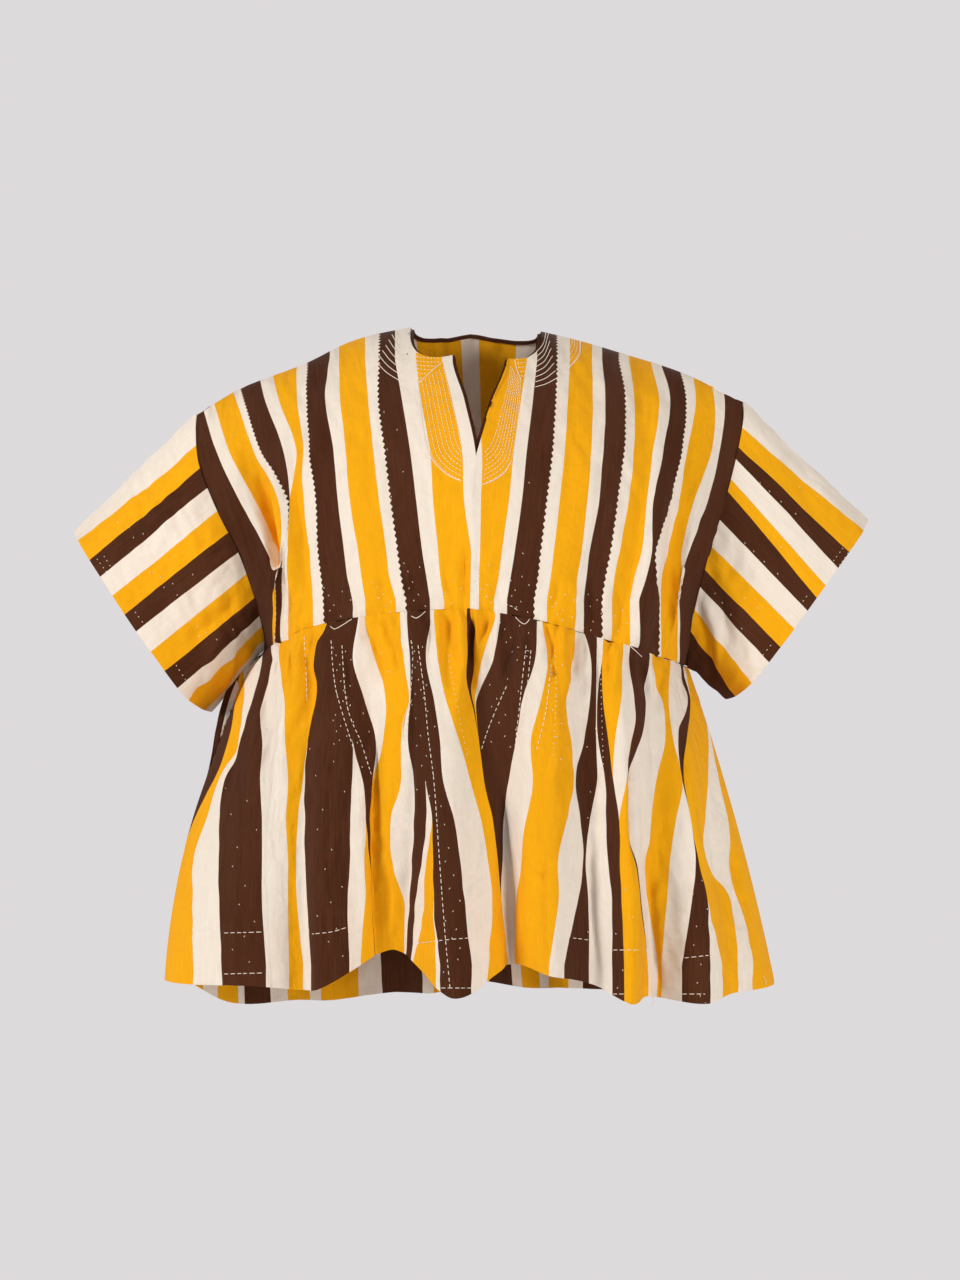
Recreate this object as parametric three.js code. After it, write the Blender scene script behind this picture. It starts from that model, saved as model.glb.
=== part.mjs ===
// A fugu smock: a wide striped smock of woven strips, worn on a figure with raised arms. It has a front
// and a back that meet along the shoulder fold, two short wide sleeves, a neck with a V slit and its dark
// facing, and a gathered skirt. Millimetres, +Z up, the front faces -Y, the wearer's right is at -X.
// The origin is where the wearer's shoulders hold it: on the centre line, level with the neck's sides.
import * as THREE from "three";

// ---------------------------------------------------------------- driving dimensions

const WALL = 1.8; // cloth with its seam allowances
const SEAM_GAP = 0.5; // between two pieces where they are sewn together
const STRIP = 85; // one woven strip
const STRIPS = 4; // strips on each side of the centre seam
const HALF_CUT = STRIP * STRIPS; // the bodice's cut, from the centre seam to the armhole

const NECK_TOP = 5; // height of the centre line where the neck hole is cut away
const NECK_CUT = { left: 45, right: 64 }; // neck hole's half width on the strips, at the shoulder
const NECK_FALL = { front: 0.15, back: 0.05 }; // neck hole's share of the drop to the gather seam
const NECK_SQUARENESS = 2.6; // exponent of the neck hole's rounded corner
const SLIT_END = 0.4985; // foot of the V slit, as a share of the drop
const SLIT_SLACK = 0.001; // how near to the slit's foot a row of the mesh counts as its end
const SLIT_LEAN = { left: 0, right: 22 }; // how far the V is cut into the strips at its top

const FACING_WIDTHS = [-4, 1, 8]; // the facing's edge inside the neck, its middle and its hidden edge
const FACING_WALL = 1.2;
const FACING_GAP = 0.9; // between the cloth and the facing under it
const FACING_LOWEST = 0.95; // share of the drop that the facing stays above
const FRAME_STEP = { across: 5, down: 0.02 }; // small steps on the cloth, in mm and as a share of the drop

const PUCKER_DEPTH = 3.4; // small gathers just below the gather seam
const PUCKERS = { front: 23, back: 21 };
const PUCKER_LENGTH = 0.15; // how quickly they fade, as a share of the skirt's length
const PUCKER_START = 0.05; // share of the skirt's length over which they rise to their full depth
const PUCKER_SIDE = 0.9; // share of the half width beyond which they fade to the side seams
// Slow waves across the gathers, which make them uneven: how much they shift them, their turns and start.
const PUCKER_SHIFTS = [
  { shift: 1.4, turns: 3.1, start: 0.6 },
  { shift: 0.8, turns: 8.3, start: 0 },
];
const PUCKER_STRENGTH = { mean: 0.65, swing: 0.35, turns: 11, start: 1.3 };

const SHOULDER_ROUND = 0.7; // share of the drop over which the cloth turns down from the shoulders
const SHOULDER_EXPONENTS = { drop: 1.8, depth: 1.5 }; // of the curve that it follows there
const SKIRT_SQUARENESS = 2.4; // exponent of the skirt's plan outline
const FLARE_POWER = 0.9; // how evenly the skirt's depth grows from the gather seam to the hem
const FOLD_POWER = 0.65; // how early the skirt's folds reach their depth below the gather seam

// Strip seams of the bodice, out from the centre line, at sections down its length. "at" is the share of
// the drop from the shoulder fold to the gather seam. The slit parts the two middle edges.
const STRIP_SEAMS = [
  {
    at: 0, left3: -254, left2: -187, left1: -122,
    midLeft: -7, midRight: -7, right1: 94, right2: 164, right3: 228,
  },
  {
    at: 0.15, left3: -252, left2: -185, left1: -113,
    midLeft: -25, midRight: 15, right1: 90, right2: 162, right3: 227,
  },
  {
    at: 0.31, left3: -243, left2: -181, left1: -104,
    midLeft: -12, midRight: 6, right1: 86, right2: 159, right3: 225,
  },
  {
    at: 0.4985, left3: -226, left2: -175, left1: -97,
    midLeft: 0, midRight: 0, right1: 80, right2: 155, right3: 216,
  },
  {
    at: 0.65, left3: -214, left2: -169, left1: -91,
    midLeft: -4, midRight: -4, right1: 76, right2: 151, right3: 209,
  },
  {
    at: 0.85, left3: -208, left2: -163, left1: -80,
    midLeft: -5, midRight: -5, right1: 67, right2: 141, right3: 200,
  },
  {
    at: 1, left3: -206, left2: -158, left1: -73,
    midLeft: -6, midRight: -6, right1: 60, right2: 132, right3: 190,
  },
];

// Height of the shoulder fold and of the gather seam at each strip seam, below the origin.
const STRIP_DROPS = [
  { strip: 0, shoulderLeft: -NECK_TOP, seamLeft: 314, shoulderRight: -NECK_TOP, seamRight: 314 },
  { strip: 1, shoulderLeft: 17, seamLeft: 317, shoulderRight: 16, seamRight: 325 },
  { strip: 2, shoulderLeft: 46, seamLeft: 329, shoulderRight: 36, seamRight: 345 },
  { strip: 3, shoulderLeft: 72, seamLeft: 347, shoulderRight: 57, seamRight: 362 },
];

// How far the bodice stands forward and back of the shoulder fold, at each strip seam.
const BODY_DEPTH = [
  { strip: 0, front: 138, back: 112 },
  { strip: 1, front: 134, back: 113 },
  { strip: 2, front: 117, back: 104 },
  { strip: 3, front: 80, back: 78 },
];

// Armhole edges and sleeve cuffs, from the shoulder fold round to the underarm: out from the centre line,
// down from the origin, and forward and back of the shoulder fold.
const ARMHOLE = {
  left: [
    { at: 0, out: 304, down: 101, front: 0, back: 0 },
    { at: 0.07, out: 304, down: 119, front: 13, back: 16 },
    { at: 0.22, out: 299, down: 158, front: 29, back: 36 },
    { at: 0.42, out: 278, down: 209, front: 42, back: 54 },
    { at: 0.6, out: 255, down: 255, front: 46, back: 60 },
    { at: 0.8, out: 237, down: 307, front: 39, back: 52 },
    { at: 0.93, out: 231, down: 340, front: 19, back: 26 },
    { at: 1, out: 231, down: 358, front: 0, back: 0 },
  ],
  right: [
    { at: 0, out: 291, down: 88, front: 0, back: 0 },
    { at: 0.07, out: 290, down: 108, front: 13, back: 16 },
    { at: 0.22, out: 281, down: 151, front: 29, back: 36 },
    { at: 0.42, out: 265, down: 209, front: 42, back: 54 },
    { at: 0.6, out: 249, down: 261, front: 46, back: 60 },
    { at: 0.8, out: 235, down: 318, front: 39, back: 52 },
    { at: 0.93, out: 231, down: 356, front: 19, back: 26 },
    { at: 1, out: 231, down: 376, front: 0, back: 0 },
  ],
};
const CUFF = {
  left: [
    { at: 0, out: 437, down: 230, front: 0, back: 0 },
    { at: 0.07, out: 427, down: 246, front: 21, back: 19 },
    { at: 0.22, out: 403, down: 280, front: 46, back: 42 },
    { at: 0.42, out: 373, down: 324, front: 61, back: 60 },
    { at: 0.6, out: 346, down: 362, front: 62, back: 66 },
    { at: 0.8, out: 315, down: 406, front: 44, back: 60 },
    { at: 0.93, out: 299, down: 421, front: 12, back: 34 },
    { at: 1, out: 290, down: 425, front: -12, back: 12 },
  ],
  right: [
    { at: 0, out: 427, down: 217, front: 0, back: 0 },
    { at: 0.07, out: 417, down: 233, front: 21, back: 19 },
    { at: 0.22, out: 391, down: 267, front: 46, back: 42 },
    { at: 0.42, out: 359, down: 310, front: 61, back: 60 },
    { at: 0.6, out: 331, down: 348, front: 62, back: 66 },
    { at: 0.8, out: 298, down: 392, front: 44, back: 60 },
    { at: 0.93, out: 283, down: 407, front: 12, back: 34 },
    { at: 1, out: 274, down: 411, front: -12, back: 12 },
  ],
};

// Drape folds of the bodice beside the armholes. "middle" is on the strips, out from the centre seam. The
// half nearer the centre is pushed out and leans over the other half, which is pushed in.
const DRAPE_FOLDS = [
  { face: "front", side: "left", middle: 232, half: 42, push: 19, lean: 13, from: 0.12, full: 0.62, to: 1.25 },
  { face: "front", side: "right", middle: 240, half: 46, push: 12, lean: 6, from: 0.3, full: 0.72, to: 1.25 },
  { face: "front", side: "left", middle: 140, half: 40, push: 3, lean: 0, from: 0.35, full: 0.95, to: 1.2 },
  { face: "front", side: "right", middle: 125, half: 40, push: 4, lean: 0, from: 0.35, full: 0.95, to: 1.2 },
  { face: "back", side: "left", middle: 236, half: 48, push: 14, lean: 8, from: 0.2, full: 0.7, to: 1.25 },
  { face: "back", side: "right", middle: 230, half: 44, push: 16, lean: 9, from: 0.15, full: 0.65, to: 1.25 },
  { face: "back", side: "left", middle: 120, half: 45, push: 5, lean: 0, from: 0.3, full: 0.9, to: 1.2 },
  { face: "back", side: "right", middle: 110, half: 40, push: 4, lean: 0, from: 0.4, full: 0.95, to: 1.2 },
];

// The skirt's folds from the wearer's right side seam to the left one: out from the centre line at the
// gather seam, half way down and at the hem, push out (or in, where negative) and the hem's drop.
const SKIRT_FOLDS = {
  front: [
    { fold: "side", seam: -231, mid: -306, hem: -339, push: 0, drop: 712 },
    { fold: "broad panel", seam: -217, mid: -248, hem: -246, push: 9, drop: 705 },
    { fold: "tuck", seam: -164, mid: -184, hem: -181, push: -13, drop: 709 },
    { fold: "crest", seam: -142, mid: -153, hem: -151, push: 21, drop: 702 },
    { fold: "deep valley", seam: -106, mid: -100, hem: -90, push: -36, drop: 668 },
    { fold: "crest", seam: -61, mid: -35, hem: -22, push: 26, drop: 711 },
    { fold: "slit", seam: -6, mid: 22, hem: 36, push: -34, drop: 683 },
    { fold: "low crest", seam: 58, mid: 72, hem: 74, push: 13, drop: 690 },
    { fold: "tuck", seam: 118, mid: 121, hem: 124, push: -12, drop: 702 },
    { fold: "crest", seam: 148, mid: 156, hem: 153, push: 23, drop: 719 },
    { fold: "valley", seam: 176, mid: 187, hem: 190, push: -22, drop: 717 },
    { fold: "crest", seam: 196, mid: 224, hem: 229, push: 17, drop: 723 },
    { fold: "tuck", seam: 213, mid: 255, hem: 272, push: -7, drop: 718 },
    { fold: "side", seam: 231, mid: 284, hem: 325, push: 0, drop: 717 },
  ],
  back: [
    { fold: "side", seam: -231, mid: -306, hem: -339, push: 0, drop: 712 },
    { fold: "broad panel", seam: -206, mid: -262, hem: -277, push: 12, drop: 758 },
    { fold: "valley", seam: -168, mid: -206, hem: -214, push: -22, drop: 757 },
    { fold: "crest", seam: -132, mid: -157, hem: -160, push: 22, drop: 764 },
    { fold: "tuck", seam: -98, mid: -104, hem: -102, push: -16, drop: 752 },
    { fold: "crest", seam: -62, mid: -55, hem: -48, push: 27, drop: 758 },
    { fold: "deep valley", seam: -14, mid: -8, hem: 2, push: -33, drop: 738 },
    { fold: "crest", seam: 38, mid: 44, hem: 58, push: 24, drop: 752 },
    { fold: "tuck", seam: 82, mid: 98, hem: 106, push: -12, drop: 747 },
    { fold: "crest", seam: 120, mid: 146, hem: 157, push: 20, drop: 752 },
    { fold: "valley", seam: 158, mid: 192, hem: 205, push: -24, drop: 744 },
    { fold: "broad panel", seam: 202, mid: 246, hem: 268, push: 14, drop: 746 },
    { fold: "side", seam: 231, mid: 284, hem: 325, push: 0, drop: 717 },
  ],
};

// How far the skirt stands forward and back at the gather seam, and how much more at the hem.
const SKIRT_DEPTH = {
  front: { seam: 134, flare: 66 },
  back: { seam: 112, flare: 92 },
};

const GRID = {
  wideColumns: 14, // columns of the bodice from the neck to the armhole, on each side
  wideStart: 62, // strip coordinate where they start, below the neck
  skirtColumns: 72,
  sleeveRows: 6,
};
const BODICE_ROWS = [0, 0.007, 0.02, 0.05, 0.09, 0.14, 0.2, 0.26, 0.33, 0.41, 0.5, 0.6, 0.7, 0.8, 0.9, 1];
const COLUMN_BEND = 0.4; // share of the rows over which the columns beside the neck spread out
// Columns beside the neck, as shares of its fall.
const NECK_STEPS = [1, 0.97, 0.88, 0.75, 0.6, 0.45, 0.31, 0.18, 0.08];
const SKIRT_ROWS = [0, 0.025, 0.06, 0.11, 0.18, 0.28, 0.4, 0.54, 0.68, 0.84, 1];

const COLOURS = { amber: 0xf6a90c, cream: 0xe9d9c6, brown: 0x4e2a1a };

// ---------------------------------------------------------------- curves through the tables

// A smooth curve through a table's rows: the value in `column` where the column `key` is x.
function curve(rows, key, column, x) {
  const last = rows.length - 1;
  let i = 0;
  while (i < last - 1 && x > rows[i + 1][key]) i++;
  const slopeAt = (k) => {
    const low = rows[Math.max(k - 1, 0)];
    const high = rows[Math.min(k + 1, last)];
    return (high[column] - low[column]) / (high[key] - low[key]);
  };
  const a = rows[i];
  const b = rows[i + 1];
  const span = b[key] - a[key];
  const t = THREE.MathUtils.clamp((x - a[key]) / span, 0, 1);
  const rise = t * t * (3 - 2 * t);
  const leave = t * (1 - t) * (1 - t) * span * slopeAt(i);
  const arrive = t * t * (t - 1) * span * slopeAt(i + 1);
  return a[column] + (b[column] - a[column]) * rise + leave + arrive;
}

const signOf = (side) => (side === "left" ? -1 : 1);
const faceSign = (face) => (face === "front" ? -1 : 1);
const smooth = THREE.MathUtils.smoothstep;

// ---------------------------------------------------------------- the bodice

// Share of full depth reached at a share of the drop: flat over the shoulder, then turning down.
function shoulderTurn(at) {
  const left = 1 - Math.min(at / SHOULDER_ROUND, 1);
  return Math.pow(1 - Math.pow(left, SHOULDER_EXPONENTS.drop), 1 / SHOULDER_EXPONENTS.depth);
}

// Push and lean of the drape folds at a point of the bodice.
function drape(face, side, u, at) {
  let push = 0;
  let lean = 0;
  for (const fold of DRAPE_FOLDS) {
    if (fold.face !== face || fold.side !== side) continue;
    const across = (u - fold.middle) / fold.half;
    if (Math.abs(across) >= 1) continue;
    const along = smooth(at, fold.from, fold.full) * (1 - smooth(at, fold.full, fold.to));
    const wave = -Math.sin(across * Math.PI) * along;
    push += fold.push * wave;
    lean += fold.lean * wave;
  }
  return { push, lean };
}

// A point of the bodice: u across the strips from the centre seam, `at` down from the shoulder fold.
function bodicePoint(face, side, u, at) {
  const sign = signOf(side);
  const strip = u / STRIP;
  const name = side === "left" ? "Left" : "Right";
  const edge = {
    out: curve(ARMHOLE[side], "at", "out", at) * sign,
    down: curve(ARMHOLE[side], "at", "down", at),
    depth: curve(ARMHOLE[side], "at", face, at),
  };
  const middle = face === "front" ? curve(STRIP_SEAMS, "at", "mid" + name, at) : backCentre(at);
  const out = [{ strip: 0, value: middle }];
  const down = [];
  const depth = [];
  for (let k = 1; k < STRIPS; k++) out.push({ strip: k, value: curve(STRIP_SEAMS, "at", side + k, at) });
  for (const row of STRIP_DROPS) {
    const top = row["shoulder" + name];
    down.push({ strip: row.strip, value: top + (row["seam" + name] - top) * at });
  }
  for (const row of BODY_DEPTH) depth.push({ strip: row.strip, value: row[face] * shoulderTurn(at) });
  out.push({ strip: STRIPS, value: edge.out });
  down.push({ strip: STRIPS, value: edge.down });
  depth.push({ strip: STRIPS, value: edge.depth });
  const { push, lean } = drape(face, side, u, at);
  const x = curve(out, "strip", "value", strip) + sign * lean;
  const y = curve(depth, "strip", "value", strip) + push;
  const z = -curve(down, "strip", "value", strip);
  return new THREE.Vector3(x, faceSign(face) * (y + SEAM_GAP / 2), z);
}

// The back has no slit: its centre seam runs between the two middle edges of the front.
function backCentre(at) {
  return (curve(STRIP_SEAMS, "at", "midLeft", at) + curve(STRIP_SEAMS, "at", "midRight", at)) / 2;
}

// Where a strip coordinate is cut off at the top by the neck hole, as a share of the drop.
function neckEdge(face, side, u) {
  const across = u / NECK_CUT[side];
  if (across >= 1) return 0;
  const round = Math.pow(1 - Math.pow(across, NECK_SQUARENESS), 1 / NECK_SQUARENESS);
  return NECK_FALL[face] * round;
}

// How far the V slit is cut into the strips at a share of the drop.
function slitEdge(face, side, at) {
  if (face === "back") return 0;
  const up = THREE.MathUtils.clamp((SLIT_END - at) / (SLIT_END - NECK_FALL.front), 0, 1);
  return SLIT_LEAN[side] * up * Math.min(at / NECK_FALL.front, 1);
}

// The strip coordinate at which the neck's edge has fallen by a share of its fall.
function neckAcross(side, share) {
  return NECK_CUT[side] * Math.pow(1 - Math.pow(share, NECK_SQUARENESS), 1 / NECK_SQUARENESS);
}

// Strip coordinates of the bodice's columns at the top, closer together beside the neck, and below it.
function bodiceColumns(side) {
  const count = GRID.wideColumns;
  const neck = NECK_STEPS.map((share, i) => ({
    top: neckAcross(side, share),
    low: (GRID.wideStart * i) / NECK_STEPS.length,
  }));
  const wide = Array.from({ length: count + 1 }, (_, i) => ({
    top: THREE.MathUtils.lerp(NECK_CUT[side], HALF_CUT, i / count),
    low: THREE.MathUtils.lerp(GRID.wideStart, HALF_CUT, i / count),
  }));
  return [...neck, ...wide];
}

// The strip coordinate and drop of a grid point, bent to follow the neck hole and the slit.
function bodiceCell(face, side, column, row) {
  const top = neckEdge(face, side, column.top);
  const at = top + (1 - top) * row;
  const u = THREE.MathUtils.lerp(column.top, column.low, smooth(row, 0, COLUMN_BEND));
  const cut = slitEdge(face, side, at);
  return { u: cut + (HALF_CUT - cut) * (u / HALF_CUT), at };
}

function bodice(face, name, colour) {
  const sheet = new Sheet();
  const rows = BODICE_ROWS;
  const middle = bodiceColumns("left")[0];
  const inSlit = (row) => bodiceCell(face, "left", middle, row).at < SLIT_END - SLIT_SLACK;
  const slitRows = rows.map((row) => face === "front" && inSlit(row));
  const centre = [];
  for (const side of ["left", "right"]) {
    const columns = bodiceColumns(side);
    const grid = rows.map((row, r) =>
      columns.map((column, c) => {
        if (c === 0 && side === "right" && !slitRows[r]) return centre[r];
        const cell = bodiceCell(face, side, column, row);
        const id = sheet.add(bodicePoint(face, side, cell.u, cell.at));
        if (c === 0) centre[r] = id;
        return id;
      }),
    );
    sheet.fill(grid, (signOf(side) > 0) === (face === "front"));
    fixBodiceEdges(sheet, grid, side);
  }
  return sheet.wall(name, colour, WALL);
}

// Keeps the bodice's rims square to the seams that they meet.
function fixBodiceEdges(sheet, grid, side) {
  const last = grid.length - 1;
  for (const id of grid[0]) sheet.square(id, new THREE.Vector3(0, 1, 0));
  for (const id of grid[last]) sheet.square(id, new THREE.Vector3(0, 0, 1));
  for (const row of grid.slice(0, -1)) sheet.square(row[row.length - 1], armAxis(side));
  sheet.square(grid[last][grid[last].length - 1], new THREE.Vector3(0, 1, 0));
}

// ---------------------------------------------------------------- sheets of cloth

// An open sheet of triangles, which becomes a closed wall by moving a copy of it in along its normals.
class Sheet {
  constructor() {
    this.points = [];
    this.faces = [];
    this.squares = [];
  }

  add(point) {
    this.points.push(point);
    return this.points.length - 1;
  }

  // Fills a grid of point numbers with triangles.
  fill(grid, turned) {
    for (let r = 0; r + 1 < grid.length; r++) {
      for (let c = 0; c + 1 < grid[r].length; c++) {
        const [a, b] = [grid[r][c], grid[r][c + 1]];
        const [d, e] = [grid[r + 1][c], grid[r + 1][c + 1]];
        this.face(a, d, b, turned);
        this.face(b, d, e, turned);
      }
    }
  }

  face(a, b, c, turned) {
    if (a === b || b === c || a === c) return;
    this.faces.push(turned ? [a, b, c] : [a, c, b]);
  }

  // The rim at a point has no part along this direction.
  square(id, direction) {
    this.squares.push({ id, direction });
  }

  normals() {
    const normals = this.points.map(() => new THREE.Vector3());
    for (const [a, b, c] of this.faces) {
      const side = new THREE.Vector3().subVectors(this.points[b], this.points[a]);
      const other = new THREE.Vector3().subVectors(this.points[c], this.points[a]);
      side.cross(other);
      for (const id of [a, b, c]) normals[id].add(side);
    }
    for (const normal of normals) normal.normalize();
    for (const { id, direction } of this.squares) {
      normals[id].addScaledVector(direction, -normals[id].dot(direction)).normalize();
    }
    return normals;
  }

  wall(name, colour, thickness) {
    const count = this.points.length;
    const normals = this.normals();
    const inner = this.points.map((p, i) => p.clone().addScaledVector(normals[i], -thickness));
    const edges = new Map();
    const index = [];
    for (const [a, b, c] of this.faces) {
      index.push(a, b, c, a + count, c + count, b + count);
      for (const [from, to] of [[a, b], [b, c], [c, a]]) {
        if (!edges.delete(to + ":" + from)) edges.set(from + ":" + to, [from, to]);
      }
    }
    for (const [from, to] of edges.values()) {
      index.push(to, from, from + count, to, from + count, to + count);
    }
    const flat = [...this.points, ...inner].flatMap((p) => [p.x, p.y, p.z]);
    const geometry = new THREE.BufferGeometry();
    geometry.setAttribute("position", new THREE.Float32BufferAttribute(flat, 3));
    geometry.setIndex(index);
    geometry.computeVertexNormals();
    const material = new THREE.MeshStandardMaterial({ color: colour, roughness: 0.86, metalness: 0 });
    const mesh = new THREE.Mesh(geometry, material);
    mesh.name = name;
    return mesh;
  }
}

// ---------------------------------------------------------------- the sleeves

function edgePoint(table, face, side, at) {
  const out = curve(table[side], "at", "out", at) * signOf(side);
  const depth = curve(table[side], "at", face, at);
  return new THREE.Vector3(out, faceSign(face) * depth, -curve(table[side], "at", "down", at));
}

// The direction in which a sleeve leaves the armhole.
function armAxis(side) {
  const axis = new THREE.Vector3();
  for (const at of [0, 1]) {
    axis.add(edgePoint(CUFF, "front", side, at)).sub(edgePoint(ARMHOLE, "front", side, at));
  }
  return axis.setY(0).normalize();
}

function sleeve(side, name) {
  const sheet = new Sheet();
  const axis = armAxis(side);
  const around = [];
  for (const at of BODICE_ROWS.slice(0, -1)) around.push({ face: "front", at });
  for (const at of BODICE_ROWS.slice(1).reverse()) around.push({ face: "back", at });
  const grid = [];
  for (let r = 0; r <= GRID.sleeveRows; r++) {
    const along = r / GRID.sleeveRows;
    const ring = around.map(({ face, at }) => {
      const armhole = edgePoint(ARMHOLE, face, side, at).addScaledVector(axis, SEAM_GAP);
      return sheet.add(armhole.lerp(edgePoint(CUFF, face, side, at), along));
    });
    grid.push([...ring, ring[0]]);
  }
  sheet.fill(grid, side === "left");
  for (const id of grid[0]) sheet.square(id, axis);
  const folds = [grid[0][0], grid[0][BODICE_ROWS.length - 1]];
  for (const id of folds) sheet.square(id, new THREE.Vector3(0, 1, 0));
  return sheet.wall(name, COLOURS.amber, WALL);
}

// ---------------------------------------------------------------- the skirt

// Where a share across the gather seam, from -1 at the left of the piece to 1 at its right, lies on the
// bodice's lower edge.
function seamPoint(face, across) {
  const side = across < 0 ? "left" : "right";
  const u = Math.abs(across) * HALF_CUT;
  const columns = bodiceColumns(side).map((column) => column.low);
  let i = 0;
  while (i < columns.length - 2 && u > columns[i + 1]) i++;
  const start = bodicePoint(face, side, columns[i], 1);
  const end = bodicePoint(face, side, columns[i + 1], 1);
  return start.lerp(end, (u - columns[i]) / (columns[i + 1] - columns[i]));
}

// Small uneven gathers, which fade below the seam.
function pucker(face, across, down) {
  const turns = PUCKERS[face] * Math.PI * across;
  let uneven = 0;
  for (const wave of PUCKER_SHIFTS) uneven += wave.shift * Math.sin(wave.turns * across + wave.start);
  const { mean, swing, turns: swings, start: first } = PUCKER_STRENGTH;
  const strength = mean + swing * Math.sin(swings * across + first);
  const rise = smooth(down, 0, PUCKER_START);
  const sides = 1 - smooth(Math.abs(across), PUCKER_SIDE, 1);
  const fade = Math.exp(-down / PUCKER_LENGTH);
  return PUCKER_DEPTH * strength * rise * sides * fade * Math.sin(turns + uneven);
}

function skirtPoint(face, across, down) {
  const seam = seamPoint(face, across);
  const folds = SKIRT_FOLDS[face];
  const at = (column) => curve(folds, "seam", column, seam.x);
  const x = lineThrough(seam.x, at("mid"), at("hem"), down);
  const side = seam.x < 0 ? folds[0] : folds[folds.length - 1];
  const halfWidth = Math.abs(lineThrough(side.seam, side.mid, side.hem, down));
  const size = SKIRT_DEPTH[face];
  const halfDepth = size.seam + size.flare * Math.pow(down, FLARE_POWER);
  const ring = ringDepth(x / halfWidth) * halfDepth;
  const atSeam = Math.abs(seam.y) - ringDepth(seam.x / Math.abs(side.seam)) * size.seam;
  const y = Math.max(ring + atSeam * (1 - down) * (1 - down), SEAM_GAP / 2);
  const away = new THREE.Vector2(x / (halfWidth * halfWidth), y / (halfDepth * halfDepth)).normalize();
  const push = at("push") * Math.pow(down, FOLD_POWER) + pucker(face, across, down);
  const z = -(SEAM_GAP - seam.z + (at("drop") + seam.z) * down);
  return new THREE.Vector3(x + away.x * push, faceSign(face) * (y + away.y * push), z);
}

// Half the skirt's plan outline: its depth at a share of its half width.
function ringDepth(share) {
  const left = 1 - Math.pow(Math.min(Math.abs(share), 1), SKIRT_SQUARENESS);
  return Math.pow(left, 1 / SKIRT_SQUARENESS);
}

// A smooth line down the cloth through its places at the seam, half way and at the hem.
function lineThrough(seam, mid, hem, down) {
  return seam * (1 - down) * (1 - 2 * down) + mid * 4 * down * (1 - down) + hem * down * (2 * down - 1);
}

function skirt(face, name) {
  const sheet = new Sheet();
  const grid = SKIRT_ROWS.map((down) => {
    const row = [];
    for (let c = 0; c <= GRID.skirtColumns; c++) {
      row.push(sheet.add(skirtPoint(face, (2 * c) / GRID.skirtColumns - 1, down)));
    }
    return row;
  });
  sheet.fill(grid, face === "front");
  for (const id of grid[0]) sheet.square(id, new THREE.Vector3(0, 0, 1));
  for (const row of grid) {
    for (const id of [row[0], row[row.length - 1]]) sheet.square(id, new THREE.Vector3(0, 1, 0));
  }
  return sheet.wall(name, COLOURS.amber, WALL);
}

// ---------------------------------------------------------------- the neck's facing

// Strip coordinates round the neck hole, from the slit's foot over one shoulder to the back's centre. Its
// points are the corners of the bodice's own grid.
function neckPath(side) {
  const columns = bodiceColumns(side).slice(0, NECK_STEPS.length + 1);
  const slit = BODICE_ROWS.map((row) => bodiceCell("front", side, columns[0], row)).filter(
    (cell) => cell.at < SLIT_END + SLIT_SLACK,
  );
  const front = columns.slice(1).map((column) => bodiceCell("front", side, column, 0));
  const back = columns.slice(1, -1).map((column) => bodiceCell("back", side, column, 0));
  return [
    ...slit.reverse().map((cell) => ({ face: "front", side, ...cell })),
    ...front.map((cell) => ({ face: "front", side, ...cell })),
    ...back.reverse().map((cell) => ({ face: "back", side, ...cell })),
  ];
}

// The cloth's outward normal and its two directions of growth at a point of the bodice.
function bodiceFrame({ face, side, u, at }) {
  const point = bodicePoint(face, side, u, at);
  const step = FRAME_STEP;
  const across = bodicePoint(face, side, u + step.across, at).sub(point).divideScalar(step.across);
  const down = bodicePoint(face, side, u, at + step.down).sub(point).divideScalar(step.down);
  const normal = new THREE.Vector3().crossVectors(across, down).normalize();
  if ((signOf(side) > 0) === (face === "front")) normal.negate();
  return { point, across, down, normal };
}

// The point of the cloth a given width from a point of its edge, moved in by the wall and the gap.
function underCloth(place, direction, width) {
  const { point, across, down, normal } = bodiceFrame(place);
  const depth = -(WALL + FACING_GAP);
  if (width <= 0) return point.addScaledVector(direction, width).addScaledVector(normal, depth);
  const mixed = across.dot(down);
  const scale = across.lengthSq() * down.lengthSq() - mixed * mixed;
  const alongAcross = direction.dot(across) * width;
  const alongDown = direction.dot(down) * width;
  const u = place.u + (alongAcross * down.lengthSq() - alongDown * mixed) / scale;
  const at = place.at + (alongDown * across.lengthSq() - alongAcross * mixed) / scale;
  const low = THREE.MathUtils.clamp(at, 0, FACING_LOWEST);
  const moved = bodiceFrame({ ...place, u: Math.max(u, 0), at: low });
  return moved.point.addScaledVector(moved.normal, depth);
}

function facing() {
  const sheet = new Sheet();
  const left = neckPath("left");
  const right = neckPath("right");
  const middle = { face: "back", side: "left", u: 0, at: neckEdge("back", "left", 0) };
  const edge = [...left, middle, ...right.slice(1).reverse()];
  const frames = edge.map(bodiceFrame);
  const count = edge.length;
  const grid = edge.map((place, i) => {
    const before = frames[(i + count - 1) % count].point;
    const along = frames[(i + 1) % count].point.clone().sub(before);
    const away = new THREE.Vector3().crossVectors(along, frames[i].normal).normalize();
    return FACING_WIDTHS.map((width) => sheet.add(underCloth(place, away, width)));
  });
  sheet.fill([...grid, grid[0]], false);
  return sheet.wall("neck_facing", COLOURS.brown, FACING_WALL);
}

// ---------------------------------------------------------------- the smock

const smock = new THREE.Group();
smock.add(
  bodice("front", "bodice_front", COLOURS.cream),
  bodice("back", "bodice_back", COLOURS.cream),
  sleeve("left", "sleeve_left"),
  sleeve("right", "sleeve_right"),
  skirt("front", "skirt_front"),
  skirt("back", "skirt_back"),
  facing(),
);

export default smock;
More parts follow.
